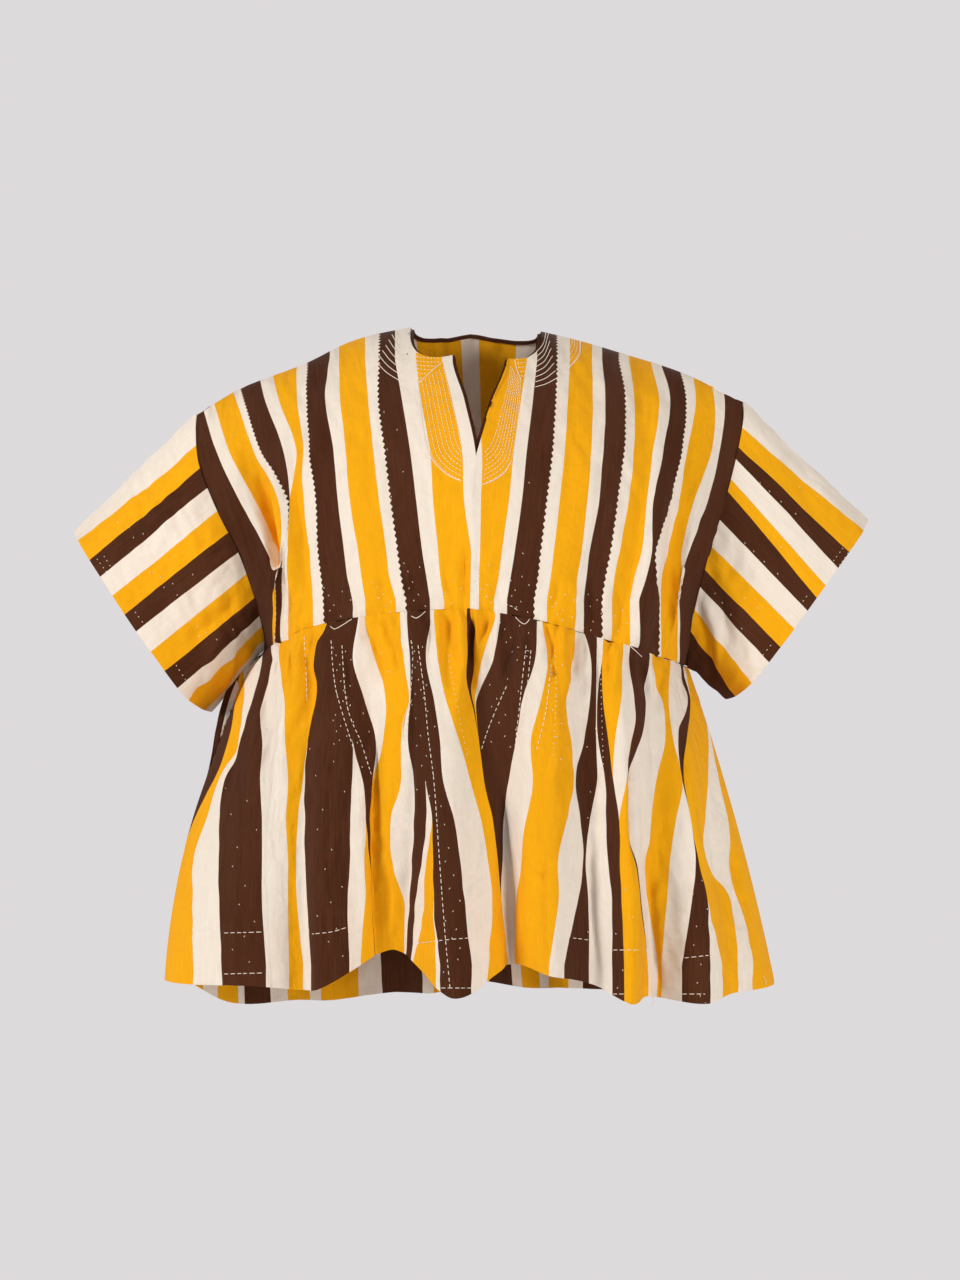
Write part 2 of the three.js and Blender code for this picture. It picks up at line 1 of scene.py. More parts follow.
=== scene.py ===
"""The looks of a fugu smock: a wide striped smock of woven strips, as worn with the arms held out.

Tables of form are in millimetres: +Z up, the front faces -Y, the wearer's right is at -X, and the origin
is on the centre line, level with the neck's sides. Left and right are the viewer's. Tables of pixels are
places in the 960 x 1280 photograph.
"""

import math

import bmesh
import bpy
import numpy as np
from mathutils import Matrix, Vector
from mathutils.bvhtree import BVHTree


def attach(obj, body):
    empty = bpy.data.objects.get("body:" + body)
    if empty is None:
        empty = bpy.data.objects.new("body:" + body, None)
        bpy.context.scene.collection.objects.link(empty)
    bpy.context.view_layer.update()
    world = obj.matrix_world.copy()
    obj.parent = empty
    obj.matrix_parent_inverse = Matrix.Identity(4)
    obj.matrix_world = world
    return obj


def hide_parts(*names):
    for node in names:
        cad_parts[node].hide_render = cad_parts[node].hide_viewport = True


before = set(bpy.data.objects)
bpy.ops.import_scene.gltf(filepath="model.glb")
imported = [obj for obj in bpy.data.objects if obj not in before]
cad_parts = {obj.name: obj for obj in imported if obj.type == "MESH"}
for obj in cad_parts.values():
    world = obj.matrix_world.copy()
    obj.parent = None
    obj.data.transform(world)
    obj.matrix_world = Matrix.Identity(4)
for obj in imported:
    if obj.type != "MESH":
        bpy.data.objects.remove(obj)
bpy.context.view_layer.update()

MM = 0.001
SIGN = {"left": -1, "right": 1}
FACE_SIGN = {"front": -1, "back": 1}


def table(columns, *rows):
    """A short table, as one array for each named column."""
    return {name: np.array([row[i] for row in rows], float) for i, name in enumerate(columns.split())}


# ---------------------------------------------------------------- the form, as the solids have it

STRIP = 85  # one woven strip
STRIPS = 4  # strips on each side of the centre seam
HALF_CUT = STRIP * STRIPS
CLOTH = 1.3  # thickness of the cloth that shows

# Places down the bodice are shares of the drop from the shoulder fold to the gather seam.
NECK_CUT = {"left": 45, "right": 64}  # half widths of the neck hole
NECK_FALL = {"front": 0.15, "back": 0.05}
NECK_SQUARENESS = 2.6
SLIT_END = 0.4985
SLIT_LEAN = {"left": 0, "right": 22}
SHOULDER_ROUND = 0.7
SHOULDER_CURVE = {"fold": 1.5, "end": 1.8}
SKIRT_SQUARENESS = 2.4
SKIRT_LENGTH = 400  # about, of cloth from the gather seam to the hem
HALF_HEM = {"front": 475, "back": 490}  # of cloth, from the middle to a side seam
FLARE_CURVE = 0.9  # below 1, a form grows fastest next to the gather seam
FOLD_CURVE = 0.65

# Small gathers of the form: how deep, how many half waves from the middle to a side seam, how soon they
# fade as a share of the skirt's length, and where they begin below the seam and end at the sides.
PUCKER_DEPTH = 3.4
PUCKERS = {"front": 23, "back": 21}
PUCKER_LENGTH = 0.15
PUCKER_START = 0.05
PUCKER_SIDES = 0.9
# Their unevenness: waves across the seam, as height, speed and start.
PUCKER_WANDER = ((1.4, 3.1, 0.6), (0.8, 8.3, 0))
PUCKER_STRENGTH = (0.35, 11, 1.3)

# Strip seams of the bodice, out from the centre line, down its length.
SEAMS = table(
    "at left3 left2 left1 midLeft midRight right1 right2 right3",
    (0, -254, -187, -122, -7, -7, 94, 164, 228),
    (0.15, -252, -185, -113, -25, 15, 90, 162, 227),
    (0.31, -243, -181, -104, -12, 6, 86, 159, 225),
    (0.4985, -226, -175, -97, 0, 0, 80, 155, 216),
    (0.65, -214, -169, -91, -4, -4, 76, 151, 209),
    (0.85, -208, -163, -80, -5, -5, 67, 141, 200),
    (1, -206, -158, -73, -6, -6, 60, 132, 190),
)

# Height of the shoulder fold and of the gather seam below the origin, and depth of the body, at each seam.
DROPS = table(
    "shoulderLeft seamLeft shoulderRight seamRight front back",
    (-5, 314, -5, 314, 138, 112),
    (17, 317, 16, 325, 134, 113),
    (46, 329, 36, 345, 117, 104),
    (72, 347, 57, 362, 80, 78),
)

# Armhole edges and cuffs, from the shoulder fold round to the underarm.
ARMHOLE = {
    "left": table(
        "at out down front back",
        (0, 304, 101, 0, 0),
        (0.07, 304, 119, 13, 16),
        (0.22, 299, 158, 29, 36),
        (0.42, 278, 209, 42, 54),
        (0.6, 255, 255, 46, 60),
        (0.8, 237, 307, 39, 52),
        (0.93, 231, 340, 19, 26),
        (1, 231, 358, 0, 0),
    ),
    "right": table(
        "at out down front back",
        (0, 291, 88, 0, 0),
        (0.07, 290, 108, 13, 16),
        (0.22, 281, 151, 29, 36),
        (0.42, 265, 209, 42, 54),
        (0.6, 249, 261, 46, 60),
        (0.8, 235, 318, 39, 52),
        (0.93, 231, 356, 19, 26),
        (1, 231, 376, 0, 0),
    ),
}
CUFF = {
    "left": table(
        "at out down front back",
        (0, 437, 230, 0, 0),
        (0.07, 427, 246, 21, 19),
        (0.22, 403, 280, 46, 42),
        (0.42, 373, 324, 61, 60),
        (0.6, 346, 362, 62, 66),
        (0.8, 315, 406, 44, 60),
        (0.93, 299, 421, 12, 34),
        (1, 290, 425, -12, 12),
    ),
    "right": table(
        "at out down front back",
        (0, 427, 217, 0, 0),
        (0.07, 417, 233, 21, 19),
        (0.22, 391, 267, 46, 42),
        (0.42, 359, 310, 61, 60),
        (0.6, 331, 348, 62, 66),
        (0.8, 298, 392, 44, 60),
        (0.93, 283, 407, 12, 34),
        (1, 274, 411, -12, 12),
    ),
}

# Drape folds of the bodice: place on the strips, half width, push, lean, and their run down the cloth.
DRAPE_FOLDS = {
    "front left": table(
        "middle half push lean start full end",
        (232, 42, 19, 13, 0.12, 0.62, 1.25),
        (140, 40, 3, 0, 0.35, 0.95, 1.2),
    ),
    "front right": table(
        "middle half push lean start full end",
        (240, 46, 12, 6, 0.3, 0.72, 1.25),
        (125, 40, 4, 0, 0.35, 0.95, 1.2),
    ),
    "back left": table(
        "middle half push lean start full end",
        (236, 48, 14, 8, 0.2, 0.7, 1.25),
        (120, 45, 5, 0, 0.3, 0.9, 1.2),
    ),
    "back right": table(
        "middle half push lean start full end",
        (230, 44, 16, 9, 0.15, 0.65, 1.25),
        (110, 40, 4, 0, 0.4, 0.95, 1.2),
    ),
}

# The skirt's folds from side seam to side seam: out from the centre line at the gather seam, half way down
# and at the hem, push out (or in, where negative) and the hem's drop.
SKIRT_FOLDS = {
    "front": table(
        "seam mid hem push drop",
        (-231, -306, -339, 0, 712),
        (-217, -248, -246, 9, 705),
        (-164, -184, -181, -13, 709),
        (-142, -153, -151, 21, 702),
        (-106, -100, -90, -36, 668),
        (-61, -35, -22, 26, 711),
        (-6, 22, 36, -34, 683),
        (58, 72, 74, 13, 690),
        (118, 121, 124, -12, 702),
        (148, 156, 153, 23, 719),
        (176, 187, 190, -22, 717),
        (196, 224, 229, 17, 723),
        (213, 255, 272, -7, 718),
        (231, 284, 325, 0, 717),
    ),
    "back": table(
        "seam mid hem push drop",
        (-231, -306, -339, 0, 712),
        (-206, -262, -277, 12, 758),
        (-168, -206, -214, -22, 757),
        (-132, -157, -160, 22, 764),
        (-98, -104, -102, -16, 752),
        (-62, -55, -48, 27, 758),
        (-14, -8, 2, -33, 738),
        (38, 44, 58, 24, 752),
        (82, 98, 106, -12, 747),
        (120, 146, 157, 20, 752),
        (158, 192, 205, -24, 744),
        (202, 246, 268, 14, 746),
        (231, 284, 325, 0, 717),
    ),
}
SKIRT_DEPTH = {"front": (134, 66), "back": (112, 92)}  # at the gather seam, and how much more at the hem

# Under the left-hand sleeve the skirt's side stands out: how far in millimetres, where down the cloth it is
# fullest and ends, and where across the cloth it begins.
SIDE_BULGE = {"out": 19, "full": 0.09, "end": 0.42, "inner": 0.78}


def curve(keys, values, x):
    """A smooth curve through values at keys, at each x. A row of values is one number, or one for each x."""
    x = np.atleast_1d(np.asarray(x, float))
    values = np.asarray(values, float)
    if values.ndim == 1:
        values = np.repeat(values[:, None], len(x), axis=1)
    last = len(keys) - 1
    place = np.arange(len(x))
    i = np.searchsorted(keys[1:-1], x, side="left")

    def slope(k):
        low, high = np.maximum(k - 1, 0), np.minimum(k + 1, last)
        return (values[high, place] - values[low, place]) / (keys[high] - keys[low])

    span = keys[i + 1] - keys[i]
    t = np.clip((x - keys[i]) / span, 0, 1)
    rise = t * t * (3 - 2 * t)
    leave = t * (1 - t) ** 2 * span * slope(i)
    arrive = t * t * (t - 1) * span * slope(i + 1)
    return values[i, place] + (values[i + 1, place] - values[i, place]) * rise + leave + arrive


def smooth(x, low, high):
    """From 0 at low to 1 at high, with a soft start and end."""
    t = np.clip((x - low) / (high - low), 0, 1)
    return t * t * (3 - 2 * t)


def shoulder_turn(at):
    """Share of full depth at a share of the drop: flat over the shoulder, then turning down."""
    left = 1 - np.minimum(at / SHOULDER_ROUND, 1)
    return (1 - left ** SHOULDER_CURVE["end"]) ** (1 / SHOULDER_CURVE["fold"])


def drape(face, side, u, at):
    """How far the drape folds push the bodice's cloth out and aside."""
    push, lean = np.zeros_like(u), np.zeros_like(u)
    for middle, half, out, aside, start, full, end in zip(*DRAPE_FOLDS[face + " " + side].values()):
        across = np.clip((u - middle) / half, -1, 1)
        along = smooth(at, start, full) * (1 - smooth(at, full, end))
        wave = -np.sin(across * math.pi) * along
        push += out * wave
        lean += aside * wave
    return push, lean


def bodice_points(face, side, u, at):
    """Points of the bodice: u across the strips from the centre seam, `at` down from the shoulder fold."""
    sign = SIGN[side]
    name = side.capitalize()
    hole = ARMHOLE[side]
    mid_left, mid_right = (curve(SEAMS["at"], SEAMS[mid], at) for mid in ("midLeft", "midRight"))
    front_middle = mid_left if side == "left" else mid_right
    out = [front_middle if face == "front" else (mid_left + mid_right) / 2]
    out += [curve(SEAMS["at"], SEAMS[f"{side}{k}"], at) for k in range(1, STRIPS)]
    out += [curve(hole["at"], hole["out"], at) * sign]
    down = [top + (seam - top) * at for top, seam in zip(DROPS["shoulder" + name], DROPS["seam" + name])]
    down += [curve(hole["at"], hole["down"], at)]
    depth = [full * shoulder_turn(at) for full in DROPS[face]] + [curve(hole["at"], hole[face], at)]
    push, lean = drape(face, side, u, at)
    strips = np.arange(STRIPS + 1.0)
    x = curve(strips, out, u / STRIP) + sign * lean
    y = curve(strips, depth, u / STRIP) + push
    z = -curve(strips, down, u / STRIP)
    return np.stack([x, FACE_SIGN[face] * y, z], axis=1)


def neck_edge(face, side, u):
    """Where the neck hole cuts a strip coordinate off, as a share of the drop."""
    across = np.clip(u / NECK_CUT[side], 0, 1)
    return NECK_FALL[face] * (1 - across**NECK_SQUARENESS) ** (1 / NECK_SQUARENESS)


def neck_across(side, share):
    """The strip coordinate at which the neck's edge has fallen by a share of its depth."""
    return NECK_CUT[side] * (1 - share**NECK_SQUARENESS) ** (1 / NECK_SQUARENESS)


def slit_edge(face, side, at):
    """How far the V slit is cut into the strips at a share of the drop."""
    if face == "back":
        return np.zeros_like(at)
    up = np.clip((SLIT_END - at) / (SLIT_END - NECK_FALL["front"]), 0, 1)
    return SLIT_LEAN[side] * up


def pucker(face, across, down):
    """Small uneven gathers, which fade below the gather seam."""
    turns = PUCKERS[face] * math.pi * across
    uneven = sum(high * np.sin(speed * across + start) for high, speed, start in PUCKER_WANDER)
    varies, speed, start = PUCKER_STRENGTH
    strength = 1 - varies + varies * np.sin(speed * across + start)
    rise = smooth(down, 0, PUCKER_START)
    sides = 1 - smooth(np.abs(across), PUCKER_SIDES, 1)
    return PUCKER_DEPTH * strength * rise * sides * np.exp(-down / PUCKER_LENGTH) * np.sin(turns + uneven)


def ring_depth(share):
    """Share of the full depth at a share of the half width, on the skirt's rounded outline from above."""
    left = 1 - np.minimum(np.abs(share), 1) ** SKIRT_SQUARENESS
    return left ** (1 / SKIRT_SQUARENESS)


def line_through(seam, mid, hem, down):
    """A smooth line down the cloth through its places at the seam, half way and at the hem."""
    return seam * (1 - down) * (1 - 2 * down) + mid * 4 * down * (1 - down) + hem * down * (2 * down - 1)


def skirt_points(face, across, down):
    """Points of the skirt: from -1 to 1 across the gather seam, and from 0 to 1 down to the hem."""
    folds = SKIRT_FOLDS[face]
    seam = np.where(
        (across < 0)[:, None],
        bodice_points(face, "left", np.abs(across) * HALF_CUT, np.ones_like(across)),
        bodice_points(face, "right", np.abs(across) * HALF_CUT, np.ones_like(across)),
    )
    seam_x, seam_y, seam_z = seam[:, 0], np.abs(seam[:, 1]), seam[:, 2]
    names = ("mid", "hem", "push", "drop")
    mid, hem, push, drop = (curve(folds["seam"], folds[name], seam_x) for name in names)
    x = line_through(seam_x, mid, hem, down)
    bulge = smooth(down, 0, SIDE_BULGE["full"]) * (1 - smooth(down, SIDE_BULGE["full"], SIDE_BULGE["end"]))
    x = x - SIDE_BULGE["out"] * bulge * smooth(-across, SIDE_BULGE["inner"], 1)
    side = np.where(seam_x < 0, 0, -1)
    side_seam = folds["seam"][side]
    half_width = np.abs(line_through(side_seam, folds["mid"][side], folds["hem"][side], down))
    at_seam, flare = SKIRT_DEPTH[face]
    half_depth = at_seam + flare * down**FLARE_CURVE
    ring = ring_depth(x / half_width) * half_depth
    left_over = seam_y - ring_depth(seam_x / np.abs(side_seam)) * at_seam
    y = np.maximum(ring + left_over * (1 - down) ** 2, 0)
    away_x, away_y = x / half_width**2, y / half_depth**2
    size = np.hypot(away_x, away_y)
    push = push * down**FOLD_CURVE + pucker(face, across, down)
    z = seam_z - (drop + seam_z) * down
    return np.stack([x + away_x / size * push, FACE_SIGN[face] * (y + away_y / size * push), z], axis=1)


def edge_points(edge, face, side, at):
    """Points of the armhole's or the cuff's edge."""
    out = curve(edge[side]["at"], edge[side]["out"], at) * SIGN[side]
    depth = curve(edge[side]["at"], edge[side][face], at)
    return np.stack([out, FACE_SIGN[face] * depth, -curve(edge[side]["at"], edge[side]["down"], at)], axis=1)


# ---------------------------------------------------------------- camera, light and floor

WIDE, HIGH = 960, 1280  # the photograph
FOCAL = 3028  # focal length in the photograph's pixels
EYE = {"x": 4.4, "back": 3300, "z": -347}  # the camera's place, aside, in front and up
SENSOR = 36  # on the long side, which is upright here


def to_pixels(points):
    """Where points of the object, in millimetres, are seen in the photograph."""
    away = EYE["back"] + points[:, 1]
    px = WIDE / 2 + (points[:, 0] - EYE["x"]) * FOCAL / away
    py = HIGH / 2 - (points[:, 2] - EYE["z"]) * FOCAL / away
    return px, py


def place_object(name, data):
    """A new object in the scene."""
    piece = bpy.data.objects.new(name, data)
    bpy.context.scene.collection.objects.link(piece)
    return piece


def make_camera():
    data = bpy.data.cameras.new("camera")
    data.sensor_width = SENSOR
    data.lens = SENSOR * FOCAL / HIGH
    camera = place_object("camera", data)
    camera.location = (EYE["x"] * MM, -EYE["back"] * MM, EYE["z"] * MM)
    camera.rotation_euler = (math.radians(90), 0, 0)
    bpy.context.scene.camera = camera


BACKGROUND = (0.728, 0.702, 0.712)
ROOM = (0.87, 0.86, 0.87)  # the studio's light from all round
ROOM_STRENGTH = 0.42
SMOCK_MIDDLE = (0, 0, -0.33)
# Soft lamps: place, size, watts, in metres. Each one looks at the smock's middle.
LAMPS = (
    ("key", (-2.9, -1.9, 0.6), 0.9, 94),
    ("fill", (2.3, -2.5, -0.3), 1.4, 66),
    ("back", (0.8, 2.8, 1.6), 2.0, 60),
)
FLOOR = {"radius": 2.3, "height": -1.55, "corners": 96}


def make_light():
    """The backdrop's colour where it is seen, the room's soft light on the smock, and the lamps."""
    world = bpy.data.worlds.new("room")
    world.use_nodes = True
    nodes, link = world.node_tree.nodes, world.node_tree.links.new
    seen = nodes["Background"]
    seen.inputs["Color"].default_value = (*BACKGROUND, 1)
    room = nodes.new("ShaderNodeBackground")
    room.inputs["Color"].default_value = (*ROOM, 1)
    room.inputs["Strength"].default_value = ROOM_STRENGTH
    rays = nodes.new("ShaderNodeLightPath")
    mix = nodes.new("ShaderNodeMixShader")
    link(rays.outputs["Is Camera Ray"], mix.inputs["Fac"])
    link(room.outputs["Background"], mix.inputs[1])
    link(seen.outputs["Background"], mix.inputs[2])
    link(mix.outputs["Shader"], nodes["World Output"].inputs["Surface"])
    bpy.context.scene.world = world
    bpy.context.scene.view_settings.view_transform = "Standard"
    middle = Vector(SMOCK_MIDDLE)
    for name, place, size, watts in LAMPS:
        data = bpy.data.lights.new(name, "AREA")
        data.shape = "DISK"
        data.size = size
        data.energy = watts
        lamp = place_object(name, data)
        lamp.location = place
        lamp.rotation_euler = (middle - Vector(place)).to_track_quat("-Z", "Y").to_euler()


def new_material(name):
    """A material with its nodes, the function that links them, and its shader."""
    material = bpy.data.materials.new(name)
    material.use_nodes = True
    tree = material.node_tree
    return material, tree.nodes, tree.links.new, tree.nodes["Principled BSDF"]


def put(node, **values):
    """Sets inputs of a node, which are named with _ for each space."""
    for name, value in values.items():
        node.inputs[name.replace("_", " ")].default_value = value
    return node


def make_floor():
    bpy.ops.mesh.primitive_circle_add(
        vertices=FLOOR["corners"], radius=FLOOR["radius"], fill_type="NGON", location=(0, 0, FLOOR["height"])
    )
    floor = bpy.context.object
    floor.name = "floor"
    material, _, _, shader = new_material("floor")
    put(shader, Base_Color=(*BACKGROUND, 1), Roughness=0.9)
    floor.data.materials.append(material)


# ---------------------------------------------------------------- materials

# Colours as light, for the dyed threads: the usual shade, and the shade of a thicker or older thread.
DYES = {
    "amber": ((0.86, 0.385, 0.003), (0.76, 0.315, 0.003)),
    "cream": ((0.82, 0.715, 0.60), (0.74, 0.625, 0.51)),
    "brown": ((0.057, 0.015, 0.004), (0.094, 0.032, 0.014)),
}
COLOURS = tuple(DYES)
# The stitches' thread, at its darkest and lightest.
THREAD_DYES = ((0.70, 0.58, 0.42), (0.90, 0.82, 0.68))
THREAD_PITCH = 0.0009  # between two threads of the weave, metres
WAVE_TURN = 20  # how far Blender's wave texture turns in each unit of its scale, radians
# Noise along the cloth: how often it changes across and down a metre, and its detail.
SLUBS = (900, 22, 3)
WEFTS = (18, 1100, 2)
FADE = (9, 5, 3)
LARGE_WRINKLES = (30, 13, 2)
SMALL_WRINKLES = (70, 80, 1)
# How much of each noise goes into the shade and into the relief of the threads and the wrinkles.
IN_SHADE = {"slubs": 0.55, "fade": 0.45}
IN_THREADS = {"slubs": 1.6, "wefts": 1.2}
IN_WRINKLES = 0.3
SHADE_RAMP = (0.4, 0.75)  # the noise at which the usual shade ends and the worn one begins


def cotton(name):
    """Hand-woven cotton. The cloth's own coordinates, in metres, are its UV map."""
    material, nodes, link, shader = new_material(name + "_cotton")
    put(shader, Roughness=0.9, Specular_IOR_Level=0.1, Sheen_Weight=0.03, Sheen_Roughness=0.5)
    cloth = nodes.new("ShaderNodeUVMap")
    cloth.uv_map = "cloth"

    def noise(scale_x, scale_y, detail):
        place = put(nodes.new("ShaderNodeMapping"), Scale=(scale_x, scale_y, 1))
        texture = put(nodes.new("ShaderNodeTexNoise"), Scale=1, Detail=detail)
        link(cloth.outputs["UV"], place.inputs["Vector"])
        link(place.outputs["Vector"], texture.inputs["Vector"])
        return texture.outputs["Fac"]

    def wave(direction):
        texture = nodes.new("ShaderNodeTexWave")
        texture.bands_direction = direction
        put(texture, Scale=2 * math.pi / (WAVE_TURN * THREAD_PITCH), Distortion=1.2, Detail=1)
        link(cloth.outputs["UV"], texture.inputs["Vector"])
        return texture.outputs["Fac"]

    def math_node(operation, a, b):
        node = nodes.new("ShaderNodeMath")
        node.operation = operation
        for socket, value in zip(node.inputs, (a, b)):
            if isinstance(value, (int, float)):
                socket.default_value = value
            else:
                link(value, socket)
        return node.outputs["Value"]

    def weighted(first, second):
        return math_node("ADD", math_node("MULTIPLY", *first), math_node("MULTIPLY", *second))

    slubs, wefts, fade = noise(*SLUBS), noise(*WEFTS), noise(*FADE)
    mixed = weighted((slubs, IN_SHADE["slubs"]), (fade, IN_SHADE["fade"]))
    ramp = nodes.new("ShaderNodeValToRGB")
    for element, position, dye in zip(ramp.color_ramp.elements, SHADE_RAMP, DYES[name]):
        element.position = position
        element.color = (*dye, 1)
    link(mixed, ramp.inputs["Fac"])
    link(ramp.outputs["Color"], shader.inputs["Base Color"])

    weave = math_node("ADD", wave("X"), wave("Y"))
    threads = weighted((slubs, IN_THREADS["slubs"]), (wefts, IN_THREADS["wefts"]))
    wrinkles = put(nodes.new("ShaderNodeBump"), Strength=0.55, Distance=0.011)
    large = noise(*LARGE_WRINKLES)
    small = math_node("MULTIPLY", noise(*SMALL_WRINKLES), IN_WRINKLES)
    link(math_node("ADD", large, small), wrinkles.inputs["Height"])
    bump = put(nodes.new("ShaderNodeBump"), Strength=0.5, Distance=0.0003)
    link(math_node("ADD", weave, threads), bump.inputs["Height"])
    link(wrinkles.outputs["Normal"], bump.inputs["Normal"])
    link(bump.outputs["Normal"], shader.inputs["Normal"])
    return material


def thread_material():
    """The cream thread of the stitches."""
    material, nodes, link, shader = new_material("cream_thread")
    put(shader, Roughness=0.7, Sheen_Weight=0.2)
    shade = put(nodes.new("ShaderNodeTexNoise"), Scale=900)
    ramp = nodes.new("ShaderNodeValToRGB")
    for element, dye in zip(ramp.color_ramp.elements, THREAD_DYES):
        element.color = (*dye, 1)
    link(shade.outputs["Fac"], ramp.inputs["Fac"])
    link(ramp.outputs["Color"], shader.inputs["Base Color"])
    bump = put(nodes.new("ShaderNodeBump"), Strength=0.4, Distance=0.0002)
    link(shade.outputs["Fac"], bump.inputs["Height"])
    link(bump.outputs["Normal"], shader.inputs["Normal"])
    return material


COTTON = {name: cotton(name) for name in COLOURS}
THREAD = thread_material()

# ---------------------------------------------------------------- creases

# Creases of the front, in pixels of the photograph: a line from its start to its end, how wide it is on
# each side, and how far it stands out, or in where negative, in millimetres.
FRONT_CREASES = table(
    "x1 y1 x2 y2 wide deep",
    # slits, valleys and ridges of the skirt
    (376, 720, 378, 985, 3.5, -8),
    (390, 700, 392, 950, 9, 5.7),
    (364, 760, 364, 950, 7, 4.8),
    (411, 625, 408, 940, 3.5, -4),
    (470, 612, 473, 700, 4, -9),
    (462, 620, 458, 720, 6, 5.7),
    (504, 790, 511, 985, 4, -8),
    (489, 760, 496, 980, 8, 5.7),
    (524, 800, 524, 960, 8, 5.7),
    (597, 650, 603, 760, 3.5, -5),
    (590, 830, 599, 990, 4, -5),
    (633, 730, 636, 870, 4, -8),
    (645, 860, 661, 990, 4, -6),
    (648, 700, 643, 860, 8, 5.7),
    (732, 850, 741, 930, 4, -6),
    (684, 650, 684, 800, 4, -4),
    (705, 800, 715, 900, 6, -5.7),
    (240, 700, 222, 800, 4, -4),
    (268, 640, 262, 720, 5, -5.7),
    # gathers under the gather seam
    (286, 645, 292, 690, 4, -4.2),
    (304, 640, 310, 720, 5, -4.6),
    (318, 632, 316, 676, 4, 3.8),
    (345, 622, 352, 700, 4, -4.2),
    (366, 618, 384, 690, 5, -6.1),
    (379, 616, 398, 672, 4, -4.9),
    (390, 612, 402, 650, 3, 3.8),
    (424, 608, 432, 660, 4, -4.9),
    (444, 606, 452, 690, 5, -4.6),
    (456, 606, 462, 660, 4, 4.2),
    (487, 605, 480, 650, 4, -4.9),
    (512, 612, 506, 690, 5, -4.9),
    (527, 618, 522, 670, 4, 3.8),
    (548, 622, 552, 664, 3.5, -5.7),
    (552, 664, 557, 676, 3, -5.7),
    (566, 626, 563, 700, 5, 4.6),
    (578, 628, 572, 680, 4, -4.6),
    (608, 634, 612, 684, 4, -4.9),
    (620, 636, 612, 700, 4, 3.8),
    (641, 646, 646, 700, 4, -4.6),
    (664, 655, 660, 712, 4, -4.2),
    (694, 664, 700, 712, 4, 3.8),
    # the hem's edge turned up inside
    (168, 932, 222, 933, 1.6, -0.7),
    (224, 933, 266, 932, 1.6, -0.9),
    (268, 934, 348, 927, 1.6, -0.8),
    (413, 944, 468, 938, 1.6, -0.8),
    (514, 932, 590, 940, 1.6, -0.8),
    (613, 950, 712, 955, 1.6, -0.8),
    # drape of the skirt's panels
    (283, 694, 262, 770, 5, -3),
    (276, 668, 262, 720, 4, -2.7),
    (372, 680, 362, 760, 6, -3),
    (532, 836, 546, 846, 3, 2.7),
    (527, 870, 548, 876, 3, -2.7),
    (524, 892, 540, 902, 3, 2.3),
    (545, 760, 541, 980, 5, -3),
    (556, 700, 556, 800, 6, 3),
    (432, 800, 446, 960, 9, 3.4),
    (330, 650, 326, 985, 2.2, -2.7),
    (241, 770, 240, 975, 2.2, -2.3),
    # gathers above the gather seam, and the drape of the bodice
    (300, 606, 296, 636, 4, -2.7),
    (322, 590, 326, 622, 4, 2.7),
    (345, 584, 350, 614, 4, -2.7),
    (381, 576, 388, 614, 4, -3.4),
    (398, 570, 402, 606, 4, 3),
    (414, 576, 420, 606, 4, -3),
    (446, 560, 452, 602, 4, -3),
    (463, 540, 468, 606, 4, -4.2),
    (473, 470, 470, 600, 4, 2.3),
    (503, 580, 498, 604, 4, -3),
    (540, 560, 536, 612, 5, 2.7),
    (556, 576, 552, 618, 4, -3.4),
    (574, 580, 574, 626, 4, 2.7),
    (590, 580, 592, 630, 4, -3),
    (618, 590, 616, 640, 4, -2.7),
    (640, 560, 640, 646, 5, 2.7),
    (652, 580, 656, 654, 4, -3.4),
    (672, 560, 670, 660, 5, -3),
    (300, 380, 318, 470, 7, -3),
    (330, 360, 322, 420, 6, 3.4),
    (318, 420, 300, 500, 6, 3.4),
    (262, 410, 290, 500, 8, -2.7),
    (250, 450, 275, 560, 7, 2.7),
    (640, 350, 652, 470, 9, -2.7),
    (660, 380, 655, 520, 8, 2.7),
    (600, 360, 608, 470, 9, 1.9),
    (690, 440, 668, 560, 7, -3),
    (384, 420, 392, 560, 10, -1.9),
    (352, 400, 362, 560, 10, 1.9),
    (562, 420, 566, 560, 10, -1.9),
    (586, 440, 588, 560, 9, 1.9),
)

# Creases of the sleeves, in pixels, most of which run out from the armhole or the underarm.
SLEEVE_CREASES = {
    "left": table(
        "x1 y1 x2 y2 wide deep",
        (210, 470, 150, 540, 9, -3),
        (190, 440, 130, 500, 10, 2.7),
        (232, 560, 170, 600, 8, -3),
        (236, 590, 190, 650, 7, 3.8),
        (226, 630, 196, 690, 6, -5.7),
        (214, 660, 190, 700, 5, 5.7),
        (240, 630, 214, 700, 5, -4),
        (152, 470, 100, 560, 12, -2.3),
        (200, 520, 120, 620, 12, 2.7),
    ),
    "right": table(
        "x1 y1 x2 y2 wide deep",
        (718, 560, 748, 640, 6, -3.4),
        (714, 590, 738, 650, 5, 3.4),
        (706, 600, 722, 664, 5, -4.9),
        (722, 540, 790, 620, 8, 2.7),
        (744, 460, 800, 530, 9, -2.7),
        (730, 500, 780, 580, 9, -2.3),
        (700, 612, 716, 680, 5, 5.7),
        (770, 440, 830, 520, 12, 2.3),
        (745, 640, 760, 672, 4, -3),
    ),
}

